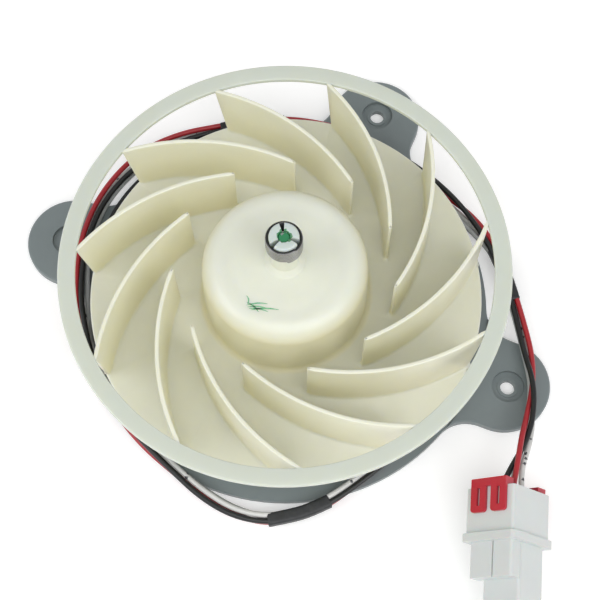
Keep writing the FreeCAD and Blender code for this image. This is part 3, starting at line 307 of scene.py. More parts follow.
def rounded_profile(corners, steps=5):
    """Closed profile from (radius, height, rounding) corners; each rounding is an arc that touches
    both of its corner's sides."""
    places = np.array([c[:2] for c in corners], float)
    outline = []
    for n, (_, _, rounding) in enumerate(corners):
        corner = places[n]
        if rounding <= 0:
            outline.append(corner[None])
            continue
        back = places[n - 1] - corner
        ahead = places[(n + 1) % len(places)] - corner
        back, ahead = back / np.linalg.norm(back), ahead / np.linalg.norm(ahead)
        half = math.acos(float(np.clip(back @ ahead, -1, 1))) / 2
        first = corner + back * rounding / math.tan(half)
        last = corner + ahead * rounding / math.tan(half)
        middle = corner + (back + ahead) / np.linalg.norm(back + ahead) * rounding / math.sin(half)
        share = np.linspace(0, 1, steps)[:, None]
        spoke = (1 - share) * (first - middle) + share * (last - middle)
        spoke *= rounding / np.linalg.norm(spoke, axis=1)[:, None]
        outline.append(middle + spoke)
    return np.concatenate(outline)


# Material making
class Nodes:
    """Short ways to add and join a tree's nodes; a value is a socket, a number or a colour."""

    def __init__(self, tree):
        self.tree = tree

    def node(self, kind, **settings):
        made = self.tree.nodes.new(kind)
        for key, value in settings.items():
            setattr(made, key, value)
        return made

    def put(self, value, socket):
        if isinstance(value, bpy.types.NodeSocket):
            self.tree.links.new(value, socket)
        else:
            socket.default_value = (*value, 1) if isinstance(value, tuple) else value

    def mix(self, factor, first, second):
        """The first colour where the factor is 0 and the second where it is 1."""
        made = self.node("ShaderNodeMix", data_type="RGBA")
        self.put(factor, made.inputs["Factor"])
        self.put(first, made.inputs[6])
        self.put(second, made.inputs[7])
        return made.outputs[2]

    def math(self, operation, *values, clamp=False):
        made = self.node("ShaderNodeMath", operation=operation, use_clamp=clamp)
        for value, socket in zip(values, made.inputs):
            self.put(value, socket)
        return made.outputs[0]

    def share(self, source, start, end):
        """0 where a value is at its start and 1 where it is at its end, held beyond both."""
        ramp = self.node("ShaderNodeMapRange")
        self.put(source, ramp.inputs["Value"])
        self.put(start, ramp.inputs["From Min"])
        self.put(end, ramp.inputs["From Max"])
        return ramp.outputs[0]

    def noise(self, vector, scale, **sockets):
        made = self.node("ShaderNodeTexNoise")
        for label, value in {"Vector": vector, "Scale": scale, **sockets}.items():
            self.put(value, made.inputs[label])
        return made.outputs["Fac"]

    def bump(self, height, distance, normal=None):
        made = self.node("ShaderNodeBump")
        self.put(1.0, made.inputs["Strength"])
        self.put(height, made.inputs["Height"])
        self.put(distance, made.inputs["Distance"])
        if normal:
            self.put(normal, made.inputs["Normal"])
        return made.outputs["Normal"]


class Group(Nodes):
    """A node group. Inputs are (name, kind of socket, default) and outputs (name, kind of socket)."""

    def __init__(self, name, inputs, outputs):
        super().__init__(bpy.data.node_groups.new(name, "ShaderNodeTree"))
        for label, kind, default in inputs:
            socket = self.tree.interface.new_socket(name=label, in_out="INPUT",
                                                    socket_type=f"NodeSocket{kind}")
            if default is not None:
                socket.default_value = default
        for label, kind in outputs:
            self.tree.interface.new_socket(name=label, in_out="OUTPUT",
                                           socket_type=f"NodeSocket{kind}")
        self.given = self.node("NodeGroupInput").outputs
        self.result = self.node("NodeGroupOutput").inputs


def mottle_group():
    """Soft patches of a second colour, from a noise of several sizes."""
    group = Group(
        "Mottle",
        [("Vector", "Vector", None), ("Colour", "Color", (1, 1, 1, 1)),
         ("Patch Colour", "Color", (0.5, 0.5, 0.5, 1)), ("Scale", "Float", 60.0),
         ("Amount", "Float", 0.4)],
        [("Colour", "Color"), ("Mask", "Float")])
    patch_start, patch_full = 0.38, 0.68
    given = group.given
    noise = group.noise(given["Vector"], given["Scale"], Detail=5.0, Roughness=0.6)
    mask = group.math("MULTIPLY", group.share(noise, patch_start, patch_full), given["Amount"])
    group.put(group.mix(mask, given["Colour"], given["Patch Colour"]), group.result["Colour"])
    group.put(mask, group.result["Mask"])
    return group.tree


def grain_group():
    """Moulded or cast surface: fine grain over slow waviness, as a normal and a roughness."""
    group = Group(
        "Surface Grain",
        [("Vector", "Vector", None), ("Scale", "Float", 900.0), ("Depth", "Float", 0.00002),
         ("Wave Depth", "Float", 0.00005), ("Roughness", "Float", 0.4),
         ("Roughness Change", "Float", 0.1)],
        [("Normal", "Vector"), ("Roughness", "Float")])
    wave_scale = 55.0
    noise_middle = 0.5
    given = group.given
    fine = group.noise(given["Vector"], given["Scale"], Detail=3.0)
    slow = group.noise(given["Vector"], wave_scale, Detail=2.0)
    wave = group.bump(slow, given["Wave Depth"])
    group.put(group.bump(fine, given["Depth"], wave), group.result["Normal"])
    centred = group.math("SUBTRACT", slow, noise_middle)
    roughness = group.math("MULTIPLY_ADD", centred, given["Roughness Change"], given["Roughness"])
    group.put(roughness, group.result["Roughness"])
    return group.tree


def speck_group():
    """Small dark marks: some of the cells of a pattern, each filled about its middle up to a ragged
    edge."""
    group = Group(
        "Specks",
        [("Vector", "Vector", None), ("Scale", "Float", 700.0), ("Size", "Float", 0.25),
         ("Share", "Float", 0.3)],
        [("Mask", "Float")])
    edge_scale, edge_depth = 2600.0, 0.5
    given = group.given
    cells = group.node("ShaderNodeTexVoronoi")
    group.put(given["Vector"], cells.inputs["Vector"])
    group.put(given["Scale"], cells.inputs["Scale"])
    ragged = group.noise(given["Vector"], edge_scale)
    reach = group.math("MULTIPLY_ADD", ragged, edge_depth, cells.outputs["Distance"])
    reach = group.math("SUBTRACT", reach, edge_depth / 2)
    inside = group.math("LESS_THAN", reach, given["Size"])
    split = group.node("ShaderNodeSeparateColor")
    group.put(cells.outputs["Color"], split.inputs[0])
    chosen = group.math("LESS_THAN", split.outputs[0], given["Share"])
    group.put(group.math("MULTIPLY", inside, chosen), group.result["Mask"])
    return group.tree


MOTTLE = mottle_group()
GRAIN = grain_group()
SPECKS = speck_group()


class Finish(Nodes):
    """A material with one Principled BSDF."""

    def __init__(self, name, colour, roughness, metallic=0.0, **sockets):
        self.material = bpy.data.materials.new(name)
        self.material.use_nodes = True
        super().__init__(self.material.node_tree)
        self.shader = self.tree.nodes["Principled BSDF"]
        self.shader.inputs["Base Color"].default_value = (*colour, 1)
        self.shader.inputs["Roughness"].default_value = roughness
        self.shader.inputs["Metallic"].default_value = metallic
        for socket, value in sockets.items():
            self.shader.inputs[socket.replace("_", " ")].default_value = value
        self.place = self.node("ShaderNodeTexCoord").outputs["Object"]
        self.material.diffuse_color = (*colour, 1)

    def group(self, group, **values):
        """Adds a node group over the object's own coordinates."""
        made = self.node("ShaderNodeGroup", node_tree=group)
        self.put(self.place, made.inputs["Vector"])
        for key, value in values.items():
            self.put(value, made.inputs[key.replace("_", " ")])
        return made

    def feed(self, name, source):
        self.put(source, self.shader.inputs[name])

    def dress(self, mottle, grain):
        """Feeds the shader from a mottle and a grain."""
        self.feed("Base Color", mottle.outputs["Colour"])
        self.feed("Normal", grain.outputs["Normal"])
        self.feed("Roughness", grain.outputs["Roughness"])

    def cover(self, mask, colour):
        """Lays a colour over what feeds the base colour, where the mask is 1."""
        base = self.shader.inputs["Base Color"].links[0].from_socket
        self.feed("Base Color", self.mix(mask, base, colour))

    def height_share(self, start, end):
        split = self.node("ShaderNodeSeparateXYZ")
        self.put(self.place, split.inputs[0])
        return self.share(split.outputs["Z"], start, end)

    def radius_share(self, start, end):
        """The same by the distance from the fan axis."""
        flat = self.node("ShaderNodeVectorMath", operation="MULTIPLY")
        self.put(self.place, flat.inputs[0])
        flat.inputs[1].default_value = (1, 1, 0)
        length = self.node("ShaderNodeVectorMath", operation="LENGTH")
        self.put(flat.outputs[0], length.inputs[0])
        return self.share(length.outputs["Value"], start, end)


def moulded_finish(name, colour, patch, roughness, grain_depth, patch_amount=0.35, scale=60.0,
                   **sockets):
    """Moulded plastic: slow colour patches, fine grain and slow waviness."""
    finish = Finish(name, colour, roughness, **sockets)
    finish.dress(
        finish.group(MOTTLE, Colour=colour, Patch_Colour=patch, Scale=scale, Amount=patch_amount),
        finish.group(GRAIN, Depth=grain_depth, Roughness=roughness, Roughness_Change=0.12))
    return finish


def metal_finish(name, colour, dark, roughness, grain_scale=1500.0, grain_depth=0.000006):
    """Plain metal with a fine grain and slightly darker patches."""
    finish = Finish(name, colour, roughness, metallic=1.0)
    finish.dress(
        finish.group(MOTTLE, Colour=colour, Patch_Colour=dark, Scale=160.0, Amount=0.6),
        finish.group(GRAIN, Scale=grain_scale, Depth=grain_depth, Wave_Depth=0.0,
                     Roughness=roughness, Roughness_Change=0.25))
    return finish


def impeller_plastic(settings):
    """Translucent moulding: pale disc, cream blades with painted shade low down and a painted highlight
    along their crests, bluish ring, a hub with painted shade on its side below a whiter top, and
    greenish jaws with a dab of paint. A rise is a span of heights and an edge one of radii, from where
    the first colour ends to where the second is full."""
    # Painted highlight: the crest colour is a band of its own laid along the blades' crests
    disc_colour, crest_highlight_colour = (0.80, 0.80, 0.66), (0.80, 0.80, 0.66)
    # Painted shade: the blades are darker and yellower at the foot, by the disc, than towards the top
    shaded_blade_foot, lit_blade_head, blade_shade_rise = (0.80, 0.77, 0.57), (0.82, 0.81, 0.65), (0.013, 0.031)
    # Painted shade: the hub's side is darker and yellower than its top
    shaded_hub_side, lit_hub_top, hub_shade_rise = (0.83, 0.79, 0.56), (0.79, 0.81, 0.69), (0.0315, 0.0357)
    crest_highlight_rise, disc_rise, hub_edge = (0.0331, 0.0337), (0.0131, 0.0138), (0.0252, 0.0242)
    ring_colour, ring_edge, ring_rise = (0.595, 0.64, 0.585), (0.0569, 0.0572), (0.0322, 0.0325)
    jaw_colour, jaw_edge, jaw_rise = (0.58, 0.66, 0.63), (0.0046, 0.0043), (0.0445, 0.0455)
    dab_grain, dab_cut, dab_edge, dab_rise = 900.0, 1.05, (0.0030, 0.0010), (0.0500, 0.0510)

    finish = Finish("Impeller plastic", tuple(settings.plastic), 0.32, Subsurface_Weight=0.6,
                    Subsurface_Radius=(1.0, 0.9, 0.6), Subsurface_Scale=0.003,
                    Coat_Weight=0.25, Coat_Roughness=0.12, IOR=1.49)
    # Painted shade up the blades and the hub's side, and a painted highlight along the crests
    blade = finish.mix(finish.height_share(*blade_shade_rise), shaded_blade_foot, lit_blade_head)
    blade = finish.mix(finish.height_share(*crest_highlight_rise), blade, crest_highlight_colour)
    body = finish.mix(finish.height_share(*disc_rise), disc_colour, blade)
    hub = finish.mix(finish.height_share(*hub_shade_rise), shaded_hub_side, lit_hub_top)
    base = finish.mix(finish.radius_share(*hub_edge), body, hub)
    for colour, edge, rise in ((ring_colour, ring_edge, ring_rise), (jaw_colour, jaw_edge, jaw_rise)):
        where = finish.math("MULTIPLY", finish.radius_share(*edge), finish.height_share(*rise))
        base = finish.mix(where, base, colour)
    dab = finish.math("ADD", finish.noise(finish.place, dab_grain), finish.radius_share(*dab_edge))
    dab = finish.math("GREATER_THAN", dab, dab_cut)
    dab = finish.math("MULTIPLY", dab, finish.height_share(*dab_rise))
    base = finish.mix(dab, base, GREEN_PAINT)
    finish.dress(
        finish.group(MOTTLE, Colour=base, Patch_Colour=(0.60, 0.58, 0.45), Scale=45.0, Amount=0.16),
        finish.group(GRAIN, Scale=700.0, Depth=0.000012, Wave_Depth=0.00012, Roughness=0.33,
                     Roughness_Change=0.15))
    return finish.material


def painted_shaft_finish():
    """Ground steel with a dab of green paint on its end."""
    paint_grain, paint_reach, paint_cut = 900.0, 0.0024, 1.36
    finish = metal_finish("Shaft steel", (0.62, 0.63, 0.64), (0.40, 0.40, 0.41), 0.3)
    near_end = finish.height_share(SHAFT_HIGH.z - paint_reach, SHAFT_HIGH.z)
    covered = finish.math("ADD", finish.noise(finish.place, paint_grain), near_end)
    covered = finish.math("GREATER_THAN", covered, paint_cut)
    finish.cover(covered, GREEN_PAINT)
    finish.feed("Metallic", finish.math("SUBTRACT", 1.0, covered))
    return finish


def spring_finish():
    """Bright wire with painted shade in the grooves between its turns."""
    groove_shade_edge = (0.00497, 0.00475)
    finish = metal_finish("Spring steel", (0.50, 0.50, 0.50), (0.30, 0.30, 0.30), 0.28)
    # Painted shade: the wire is darkened where it faces into the grooves between turns
    finish.cover(finish.radius_share(*groove_shade_edge), (0.08, 0.08, 0.08))
    return finish


def wire_finish(name, colour, patch, roughness=0.34, specks=False):
    """Extruded insulation, slightly wavy, and on one lead short dark printed marks."""
    finish = moulded_finish(name, colour, patch, roughness, 0.000008, patch_amount=0.5, scale=240.0,
                            Coat_Weight=0.2, Coat_Roughness=0.2)
    if specks:
        marks = finish.group(SPECKS, Scale=620.0, Size=0.3, Share=0.4)
        finish.cover(marks.outputs["Mask"], (0.06, 0.06, 0.07))
    return finish


# Name, colour, colour of the patches and roughness, then the grain's scale and depth where they differ
METALS = {
    "zinc_plated_steel": ("Zinc plated steel", (0.60, 0.61, 0.62), (0.45, 0.46, 0.47), 0.35),
    "lamination_steel": ("Lamination steel", (0.35, 0.36, 0.38), (0.22, 0.22, 0.24), 0.5),
    "brass_sleeve": ("Brass sleeve", (0.72, 0.56, 0.28), (0.5, 0.38, 0.2), 0.35),
    "sintered_bronze": ("Sintered bronze", (0.55, 0.38, 0.2), (0.35, 0.24, 0.14), 0.55, 2500.0,
                        0.00002),
    "copper_winding": ("Copper winding", (0.62, 0.24, 0.09), (0.4, 0.13, 0.05), 0.35, 2200.0, 0.00006),
    "tinned_brass": ("Tinned brass", (0.7, 0.69, 0.64), (0.5, 0.48, 0.4), 0.3),
}
# Name, colour, colour of the patches, roughness and depth of the grain
PLASTICS = {
    "nylon": ("Nylon", (0.78, 0.77, 0.70), (0.66, 0.64, 0.56), 0.45, 0.00001),
    "ferrite": ("Ferrite", (0.05, 0.05, 0.055), (0.09, 0.09, 0.10), 0.6, 0.00003),
    "board": ("Board", (0.02, 0.13, 0.05), (0.03, 0.18, 0.07), 0.4, 0.00001),
    "chip_black": ("Chip plastic", (0.02, 0.02, 0.022), (0.04, 0.04, 0.04), 0.6, 0.00003),
    "capacitor_sleeve": ("Capacitor sleeve", (0.02, 0.03, 0.08), (0.03, 0.04, 0.1), 0.25, 0.0),
    "grommet_rubber": ("Grommet rubber", (0.025, 0.025, 0.026), (0.05, 0.05, 0.05), 0.65, 0.00003),
}


def make_finishes():
    """One finish for each of the record's slots that a CAD node keeps."""
    finishes = {
        "bracket_plastic": moulded_finish("Bracket plastic", (0.20, 0.235, 0.24), (0.165, 0.195, 0.20),
                                          0.42, 0.00002, scale=90.0),
        "shaft_steel": painted_shaft_finish(),
        "spring_steel": spring_finish(),
        "connector_white": moulded_finish("Connector nylon", (0.66, 0.69, 0.68), (0.58, 0.61, 0.60),
                                          0.3, 0.00001, Subsurface_Weight=0.2, Subsurface_Scale=0.002,
                                          Coat_Weight=0.2, Coat_Roughness=0.15),
        "retainer_red": moulded_finish("Retainer red", (0.50, 0.012, 0.035), (0.36, 0.008, 0.02), 0.3,
                                       0.00001, Coat_Weight=0.3, Coat_Roughness=0.15),
        "sleeve_black": moulded_finish("Wrap", (0.018, 0.02, 0.022), (0.05, 0.052, 0.056), 0.5, 0.00008,
                                       scale=400.0),
        "wire_red": wire_finish("Red insulation", (0.42, 0.02, 0.03), (0.30, 0.012, 0.02)),
        "wire_black": wire_finish("Black insulation", (0.006, 0.007, 0.008), (0.014, 0.015, 0.017),
                                  0.45),
        "wire_white": wire_finish("White insulation", (0.66, 0.66, 0.64), (0.55, 0.56, 0.55),
                                  specks=True),
        "wire_grey": wire_finish("Grey insulation", (0.50, 0.52, 0.52), (0.42, 0.44, 0.44)),
    }
    finishes.update({slot: metal_finish(*row) for slot, row in METALS.items()})
    finishes.update({slot: moulded_finish(*row) for slot, row in PLASTICS.items()})
    return {slot: finish.material for slot, finish in finishes.items()}


def finish_of(slot):
    """The material of a slot, made once and then found by the record's slot name."""
    for material in bpy.data.materials:
        if material.get("slot") == slot:
            return material
    raise RuntimeError(f"no finish was made for {slot}")


# Operators
class FAN_OT_finish_nodes(bpy.types.Operator):
    """Gives every CAD node the finish of its record slot"""
    bl_idname = "fan.finish_nodes"
    bl_label = "Finish CAD Nodes"

    def execute(self, context):
        finishes = make_finishes()
        finishes["impeller_plastic"] = impeller_plastic(context.scene.fan_impeller)
        for slot, material in finishes.items():
            material["slot"] = slot
        for part in FRAME["record"]["subparts"]:
            node = FRAME["nodes"][part["node"]]
            node.data.materials.clear()
            node.data.materials.append(finishes[part["material_slot"]])
        return {"FINISHED"}


class FAN_OT_add_impeller(bpy.types.Operator):
    """Builds the impeller as one closed mesh: ring, disc and hub turned from rounded profiles, united
    with the collet's jaws and with blades lofted along arcs"""
    bl_idname = "fan.add_impeller"
    bl_label = "Add Impeller"

    bore = 0.0016
    collet_radius = 0.0041
    collet_foot = 0.0056
    collet_foot_rise = 0.0016
    slot_floor = 0.0456
    slot_angles = (121.0, 241.0, 1.0)
    slot_width = 0.0015
    jaw_depth = 0.001
    jaw_setback = 0.00002
    disc_thickness = 0.0013
    hub_wall = 0.0015
    hub_draft = 0.0005
    blade_arc_radius = 0.0631
    blade_centre_radius = 0.0365
    blade_centre_angle = 138.8
    blade_start_angle = 74.9
    blade_inner_radius = 0.0307
    blade_root_thickness = 0.0015
    blade_top_thickness = 0.0011
    blade_end_share = 0.006
    blade_end_blunt, blade_end_rounded = 0.55, 0.45
    crest_round = 0.0003
    crest_setback = 0.00003
    crest_half = 0.00001
    foot_round = 0.0009
    foot_depth = 0.00005
    foot_end_share = 0.8
    disc_edge_setback = 0.0004
    ring_overlap = 0.0002

    def execute(self, context):
        s = context.scene.fan_impeller
        turned, standing = Shell(), Shell()
        turned.add_revolved(self.ring_profile(s), 240)
        turned.add_revolved(self.body_profile(s), 180)
        for angle in self.slot_angles:
            self.add_jaw(standing, angle)
        for number in range(s.blade_count):
            self.add_blade(standing, s, self.blade_start_angle + number * 360.0 / s.blade_count)
        mesh = united(turned.mesh("turned_forms"), standing.mesh("standing_forms"))
        mesh.name = "impeller_moulding"
        piece = new_piece("impeller_moulding", mesh, finish_of("impeller_plastic"), "rotor",
                          35.0)
        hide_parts("impeller")
        return {"FINISHED"}

    def ring_profile(self, s):
        """Flat annulus with rounded edges."""
        inner, outer = s.ring_radius - s.ring_width, s.ring_radius
        low, high = s.ring_top - s.ring_thickness, s.ring_top
        return rounded_profile([(inner, low, 0.0003), (outer, low, 0.0005), (outer, high, 0.0005),
                                (inner, high, 0.0003)])

    def body_profile(self, s):
        """Disc, hub dome and collet foot in one closed outline, the underside following the top."""
        wall, draft = self.hub_wall, self.hub_draft
        low = s.disc_top - self.disc_thickness
        land = s.hub_top + LAND_HEIGHT
        return rounded_profile([
            (s.disc_radius, low, 0.0004), (s.disc_radius, s.disc_top, 0.0005),
            (s.hub_radius, s.disc_top, 0.0014), (s.hub_radius - draft, s.hub_top, 0.0056),
            (LAND_FOOT_RADIUS, s.hub_top, 0.018), (LAND_EDGE_RADIUS, land, 0.018),
            (self.collet_foot, land, 0.0008),
            (self.collet_radius, land + self.collet_foot_rise, 0.0004),
            (self.collet_radius, self.slot_floor, 0.0), (self.bore, self.slot_floor, 0.0),
            (self.bore, s.hub_top - wall, 0.0003),
            (s.hub_radius - draft - wall, s.hub_top - wall, 0.0041),
            (s.hub_radius - wall, low, 0.0005)], steps=8)

    def add_jaw(self, shell, angle):
        """One jaw of the split collet, between two slots, let into the collet below it."""
        half_slot = math.degrees(self.slot_width / 2 / self.collet_radius)
        outside = self.collet_radius - self.jaw_setback
        low, top = self.slot_floor - self.jaw_depth, IMPELLER_HIGH.z
        profile = rounded_profile([(self.bore, low, 0), (outside, low, 0), (outside, top, 0.0006),
                                   (self.bore, top, 0.0004)])
        shell.add_revolved(profile, 28, angle + half_slot, 120.0 - 2 * half_slot, capped=True)

    def add_blade(self, shell, s, angle):
        """One blade: at each height a closed loop about an arc, thinner and longer towards the top,
        with a fillet on the disc and a rounded crest."""
        root, thin = self.blade_root_thickness, self.blade_top_thickness
        top = s.ring_top - self.crest_setback
        rise = np.linspace(0, math.pi / 2, 7)
        foot_heights = s.disc_top + self.foot_round * (1 - np.cos(rise)) - self.foot_depth
        foot_flare = self.foot_round * (1 - np.sin(rise))
        side_heights = np.linspace(s.disc_top + self.foot_round, top - self.crest_round, 10)[1:]
        crest_heights = top - self.crest_round * (1 - np.sin(rise))
        crest_flare = -self.crest_round * (1 - np.cos(rise))
        heights = np.concatenate([foot_heights, side_heights, crest_heights[1:], [top]])
        flare = np.concatenate([foot_flare, 0 * side_heights, crest_flare[1:], [0]])
        share = np.clip((heights - s.disc_top) / (top - s.disc_top), 0, 1)
        half = (root - share * (root - thin)) / 2 * s.blade_thickness / thin + flare
        half[-1] = self.crest_half
        disc_end = s.disc_radius - self.disc_edge_setback
        ring_end = s.ring_radius - s.ring_width + self.ring_overlap
        first = self.arc_angle(self.blade_inner_radius - flare * self.foot_end_share)
        last = self.arc_angle(disc_end + share * (ring_end - disc_end))
        along = np.linspace(0, 1, 40)
        sweep = first[:, None] + (last - first)[:, None] * along
        loop_turns = np.concatenate([sweep, sweep[:, ::-1]], axis=1)
        ease = self.end_rounding(along)
        side = np.concatenate([ease, -ease[::-1]])
        radius = self.blade_arc_radius + half[:, None] * side
        centre = polar(self.blade_centre_radius, angle + self.blade_centre_angle)
        bearing = np.radians(loop_turns) + np.radians(angle)
        grid = np.stack([centre.x + radius * np.cos(bearing), centre.y + radius * np.sin(bearing),
                         np.repeat(heights[:, None], bearing.shape[1], axis=1)], axis=-1)
        shell.add(grid, close_v=True)
        for row in (grid[0], grid[-1]):
            shell.add(np.stack([row[:len(along)], row[:len(along) - 1:-1]]))

    def end_rounding(self, along):
        """Full thickness along the blade, rounded off within its last thousandths at both ends."""
        near = np.clip(np.minimum(along, 1 - along) / self.blade_end_share, 0, 1)
        return np.sqrt(1 - (1 - near) ** 2) * self.blade_end_rounded + self.blade_end_blunt

    def arc_angle(self, radius):
        """Angle on the blade's arc at which its middle line is this far from the fan axis."""
        reach, arc = self.blade_centre_radius, self.blade_arc_radius
        cosine = (radius ** 2 - reach ** 2 - arc ** 2) / (2 * reach * arc)
        return self.blade_centre_angle - np.degrees(np.arccos(cosine))


class FAN_OT_add_marker_strokes(bpy.types.Operator):
    """Draws the inspector's few green pen strokes on the hub as thin ribbons"""
    bl_idname = "fan.add_marker_strokes"
    bl_label = "Add Marker Strokes"

    # From and to, on the hub's top face
    strokes = (((-0.0056, -0.0134), (-0.0044, -0.0156)), ((-0.0046, -0.0160), (0.0006, -0.0136)),
               ((-0.0042, -0.0164), (0.0010, -0.0148)), ((-0.0036, -0.0166), (0.0016, -0.0156)),
               ((-0.0030, -0.0168), (0.0040, -0.0140)), ((-0.0048, -0.0152), (-0.0008, -0.0166)))
    width = 0.0004
    bow = 0.0004
    lift = 0.00006
    tip_share = 0.01

    def execute(self, context):
        """Each ribbon is a straight line with a slight bow, narrowed towards both ends. It lies on the
        hub's top face and on the slope of its land."""
        ground = context.scene.fan_impeller.hub_top + self.lift
        slope = LAND_FOOT_RADIUS - LAND_EDGE_RADIUS
        shell = Shell()
        share = np.linspace(0, 1, 16)[:, None]
        inner_share = np.clip(share, self.tip_share, 1 - self.tip_share)
        for start, end in np.array(self.strokes):
            along = end - start
            aside = np.array([-along[1], along[0]]) / np.linalg.norm(along)
            middle = start + share * along + aside * self.bow * np.sin(math.pi * share)
            half = self.width / 2 * np.sqrt(np.sin(math.pi * inner_share))
            flat = np.stack([middle - aside * half, middle + aside * half], axis=1)
            distance = np.linalg.norm(flat, axis=-1, keepdims=True)
            inward = np.clip((LAND_FOOT_RADIUS - distance) / slope, 0, 1)
            shell.add(np.concatenate([flat, ground + LAND_HEIGHT * inward], axis=-1), flip=True)
        finish = moulded_finish("Marker ink", (0.10, 0.42, 0.20), (0.45, 0.66, 0.45), 0.4, 0.0,
                                patch_amount=0.8, scale=1500.0)
        new_piece("marker_strokes", shell.mesh("marker_strokes"), finish.material, "rotor")
        return {"FINISHED"}


class FAN_OT_add_spring_clip(bpy.types.Operator):
    """Winds the close-wound steel coil round the collet as one round wire on a helix"""
    bl_idname = "fan.add_spring_clip"
    bl_label = "Add Spring Clip"

    wire = 0.00086
    inner_radius = 0.00415
    pitch = 0.00092
    start_angle = 300
    end_room = 0.00002
    end_taper = 0.05
    tip_radius = 0.000001
    steps_in_turn = 64
    sides = 12

    def execute(self, context):
        reach = self.wire / 2
        low, high = COIL_LOW.z + reach + self.end_room, COIL_HIGH.z - reach - self.end_room
        turns = (high - low) / self.pitch
        around = np.linspace(0, 2 * math.pi * turns, int(turns * self.steps_in_turn))
        tube = np.linspace(0, 2 * math.pi, self.sides + 1)[:-1]
        taper = np.clip(np.minimum(around, around[-1] - around) / self.end_taper, 0, 1)
        size = (reach * np.sqrt(1 - (1 - taper) ** 2) + self.tip_radius)[:, None]
        radius = self.inner_radius + reach + size * np.cos(tube)
        climb = (around * self.pitch / (2 * math.pi))[:, None]
        height = low + climb + size * np.sin(tube)
        turn = around[:, None] + math.radians(self.start_angle)
        grid = np.stack([radius * np.cos(turn), radius * np.sin(turn), height], axis=-1)
        piece = new_piece("spring_coil", tube_mesh("spring_coil", grid), finish_of("spring_steel"),
                          "rotor", 50.0)
        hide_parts("spring_clip")
        return {"FINISHED"}


class FAN_OT_add_leads(bpy.types.Operator):
    """Lays the four leads along their routes as smooth splines, and the three wraps round them"""
    bl_idname = "fan.add_leads"
    bl_label = "Add Leads"

    leads = (("red", RED_ROUTE), ("black", BLACK_ROUTE), ("white", WHITE_ROUTE), ("grey", GREY_ROUTE))
    wraps = (("lower_sleeve", LOWER_SLEEVE_ROUTE), ("upper_sleeve", UPPER_SLEEVE_ROUTE),
             ("end_sleeve", END_SLEEVE_ROUTE))
    wrap_pitch = 0.0024
    wrap_step = 0.00004
    wrap_end_step = 0.0002
    wrap_squareness = 0.5
    wrap_stations = 90
    wrap_sides = 48

    def execute(self, context):
        s = context.scene.fan_leads
        diameter = s.diameter
        wraps = [self.add_wrap(node, route, s.wrap_side) for node, route in self.wraps]
        for colour, route in self.leads:
            line, length = self.make_line(f"lead_{colour}", route, diameter)
            line.data.materials.append(finish_of(f"wire_{colour}"))
            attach(line, "motor")
            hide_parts(f"wire_{colour}")
            pieces = ["connector_housing"]
            if colour == "red":
                pieces += ["front_retainer", "rear_retainer", "terminals", *wraps]
        return {"FINISHED"}

    def add_wrap(self, node, route, side):
        """A rounded square (a superellipse) carried along the spline of the wrap's route; the tape's
        edges show as small steps, a sawtooth of the distance along it."""
        line, length = self.make_line(f"{node}_path", route, 0.0)
        path = bpy.data.meshes.new_from_object(line)
        coarse = np.empty(len(path.vertices) * 3)
        path.vertices.foreach_get("co", coarse)
        bpy.data.objects.remove(line)
        coarse = coarse.reshape(-1, 3)
        share = np.linspace(0, len(coarse) - 1, self.wrap_stations)
        middle = np.stack([np.interp(share, np.arange(len(coarse)), column) for column in coarse.T],
                          axis=-1)
        along = np.gradient(middle, axis=0)
        along /= np.linalg.norm(along, axis=1)[:, None]
        across = np.cross(along, (0, 0, 1))
        across /= np.linalg.norm(across, axis=1)[:, None]
        above = np.cross(across, along)
        turn = np.linspace(0, 2 * math.pi, self.wrap_sides + 1)[:-1]
        flat, tall = (np.sign(wave) * np.abs(wave) ** self.wrap_squareness
                      for wave in (np.cos(turn), np.sin(turn)))
        distance = np.linspace(0, length, len(middle))
        half = side / 2 - self.wrap_step * np.mod(distance / self.wrap_pitch, 1)
        half[[0, -1]] -= self.wrap_end_step
        grid = middle[:, None] + half[:, None, None] * (
            across[:, None] * flat[None, :, None] + above[:, None] * tall[None, :, None])
        mesh = tube_mesh(f"{node}_wrap", grid)
        piece = new_piece(f"{node}_wrap", mesh, finish_of("sleeve_black"), "motor")
        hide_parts(node)
        return piece

    def make_line(self, name, route, diameter):
        """A spline of the third order through a route's control points, and its length."""
        data = bpy.data.curves.new(name, "CURVE")
        data.dimensions = "3D"
        spline = data.splines.new("NURBS")
        points = route_points(route)
        spline.points.add(len(points) - 1)
        for control, place in zip(spline.points, points):
            control.co = (*place, 1)
        spline.order_u = 3
        spline.use_endpoint_u = True
        spline.resolution_u = 8
        line = new_object(name, data)
        length = spline.calc_length()
        data.bevel_depth = diameter / 2
        data.bevel_resolution = 4
        data.use_fill_caps = True
        return line, length


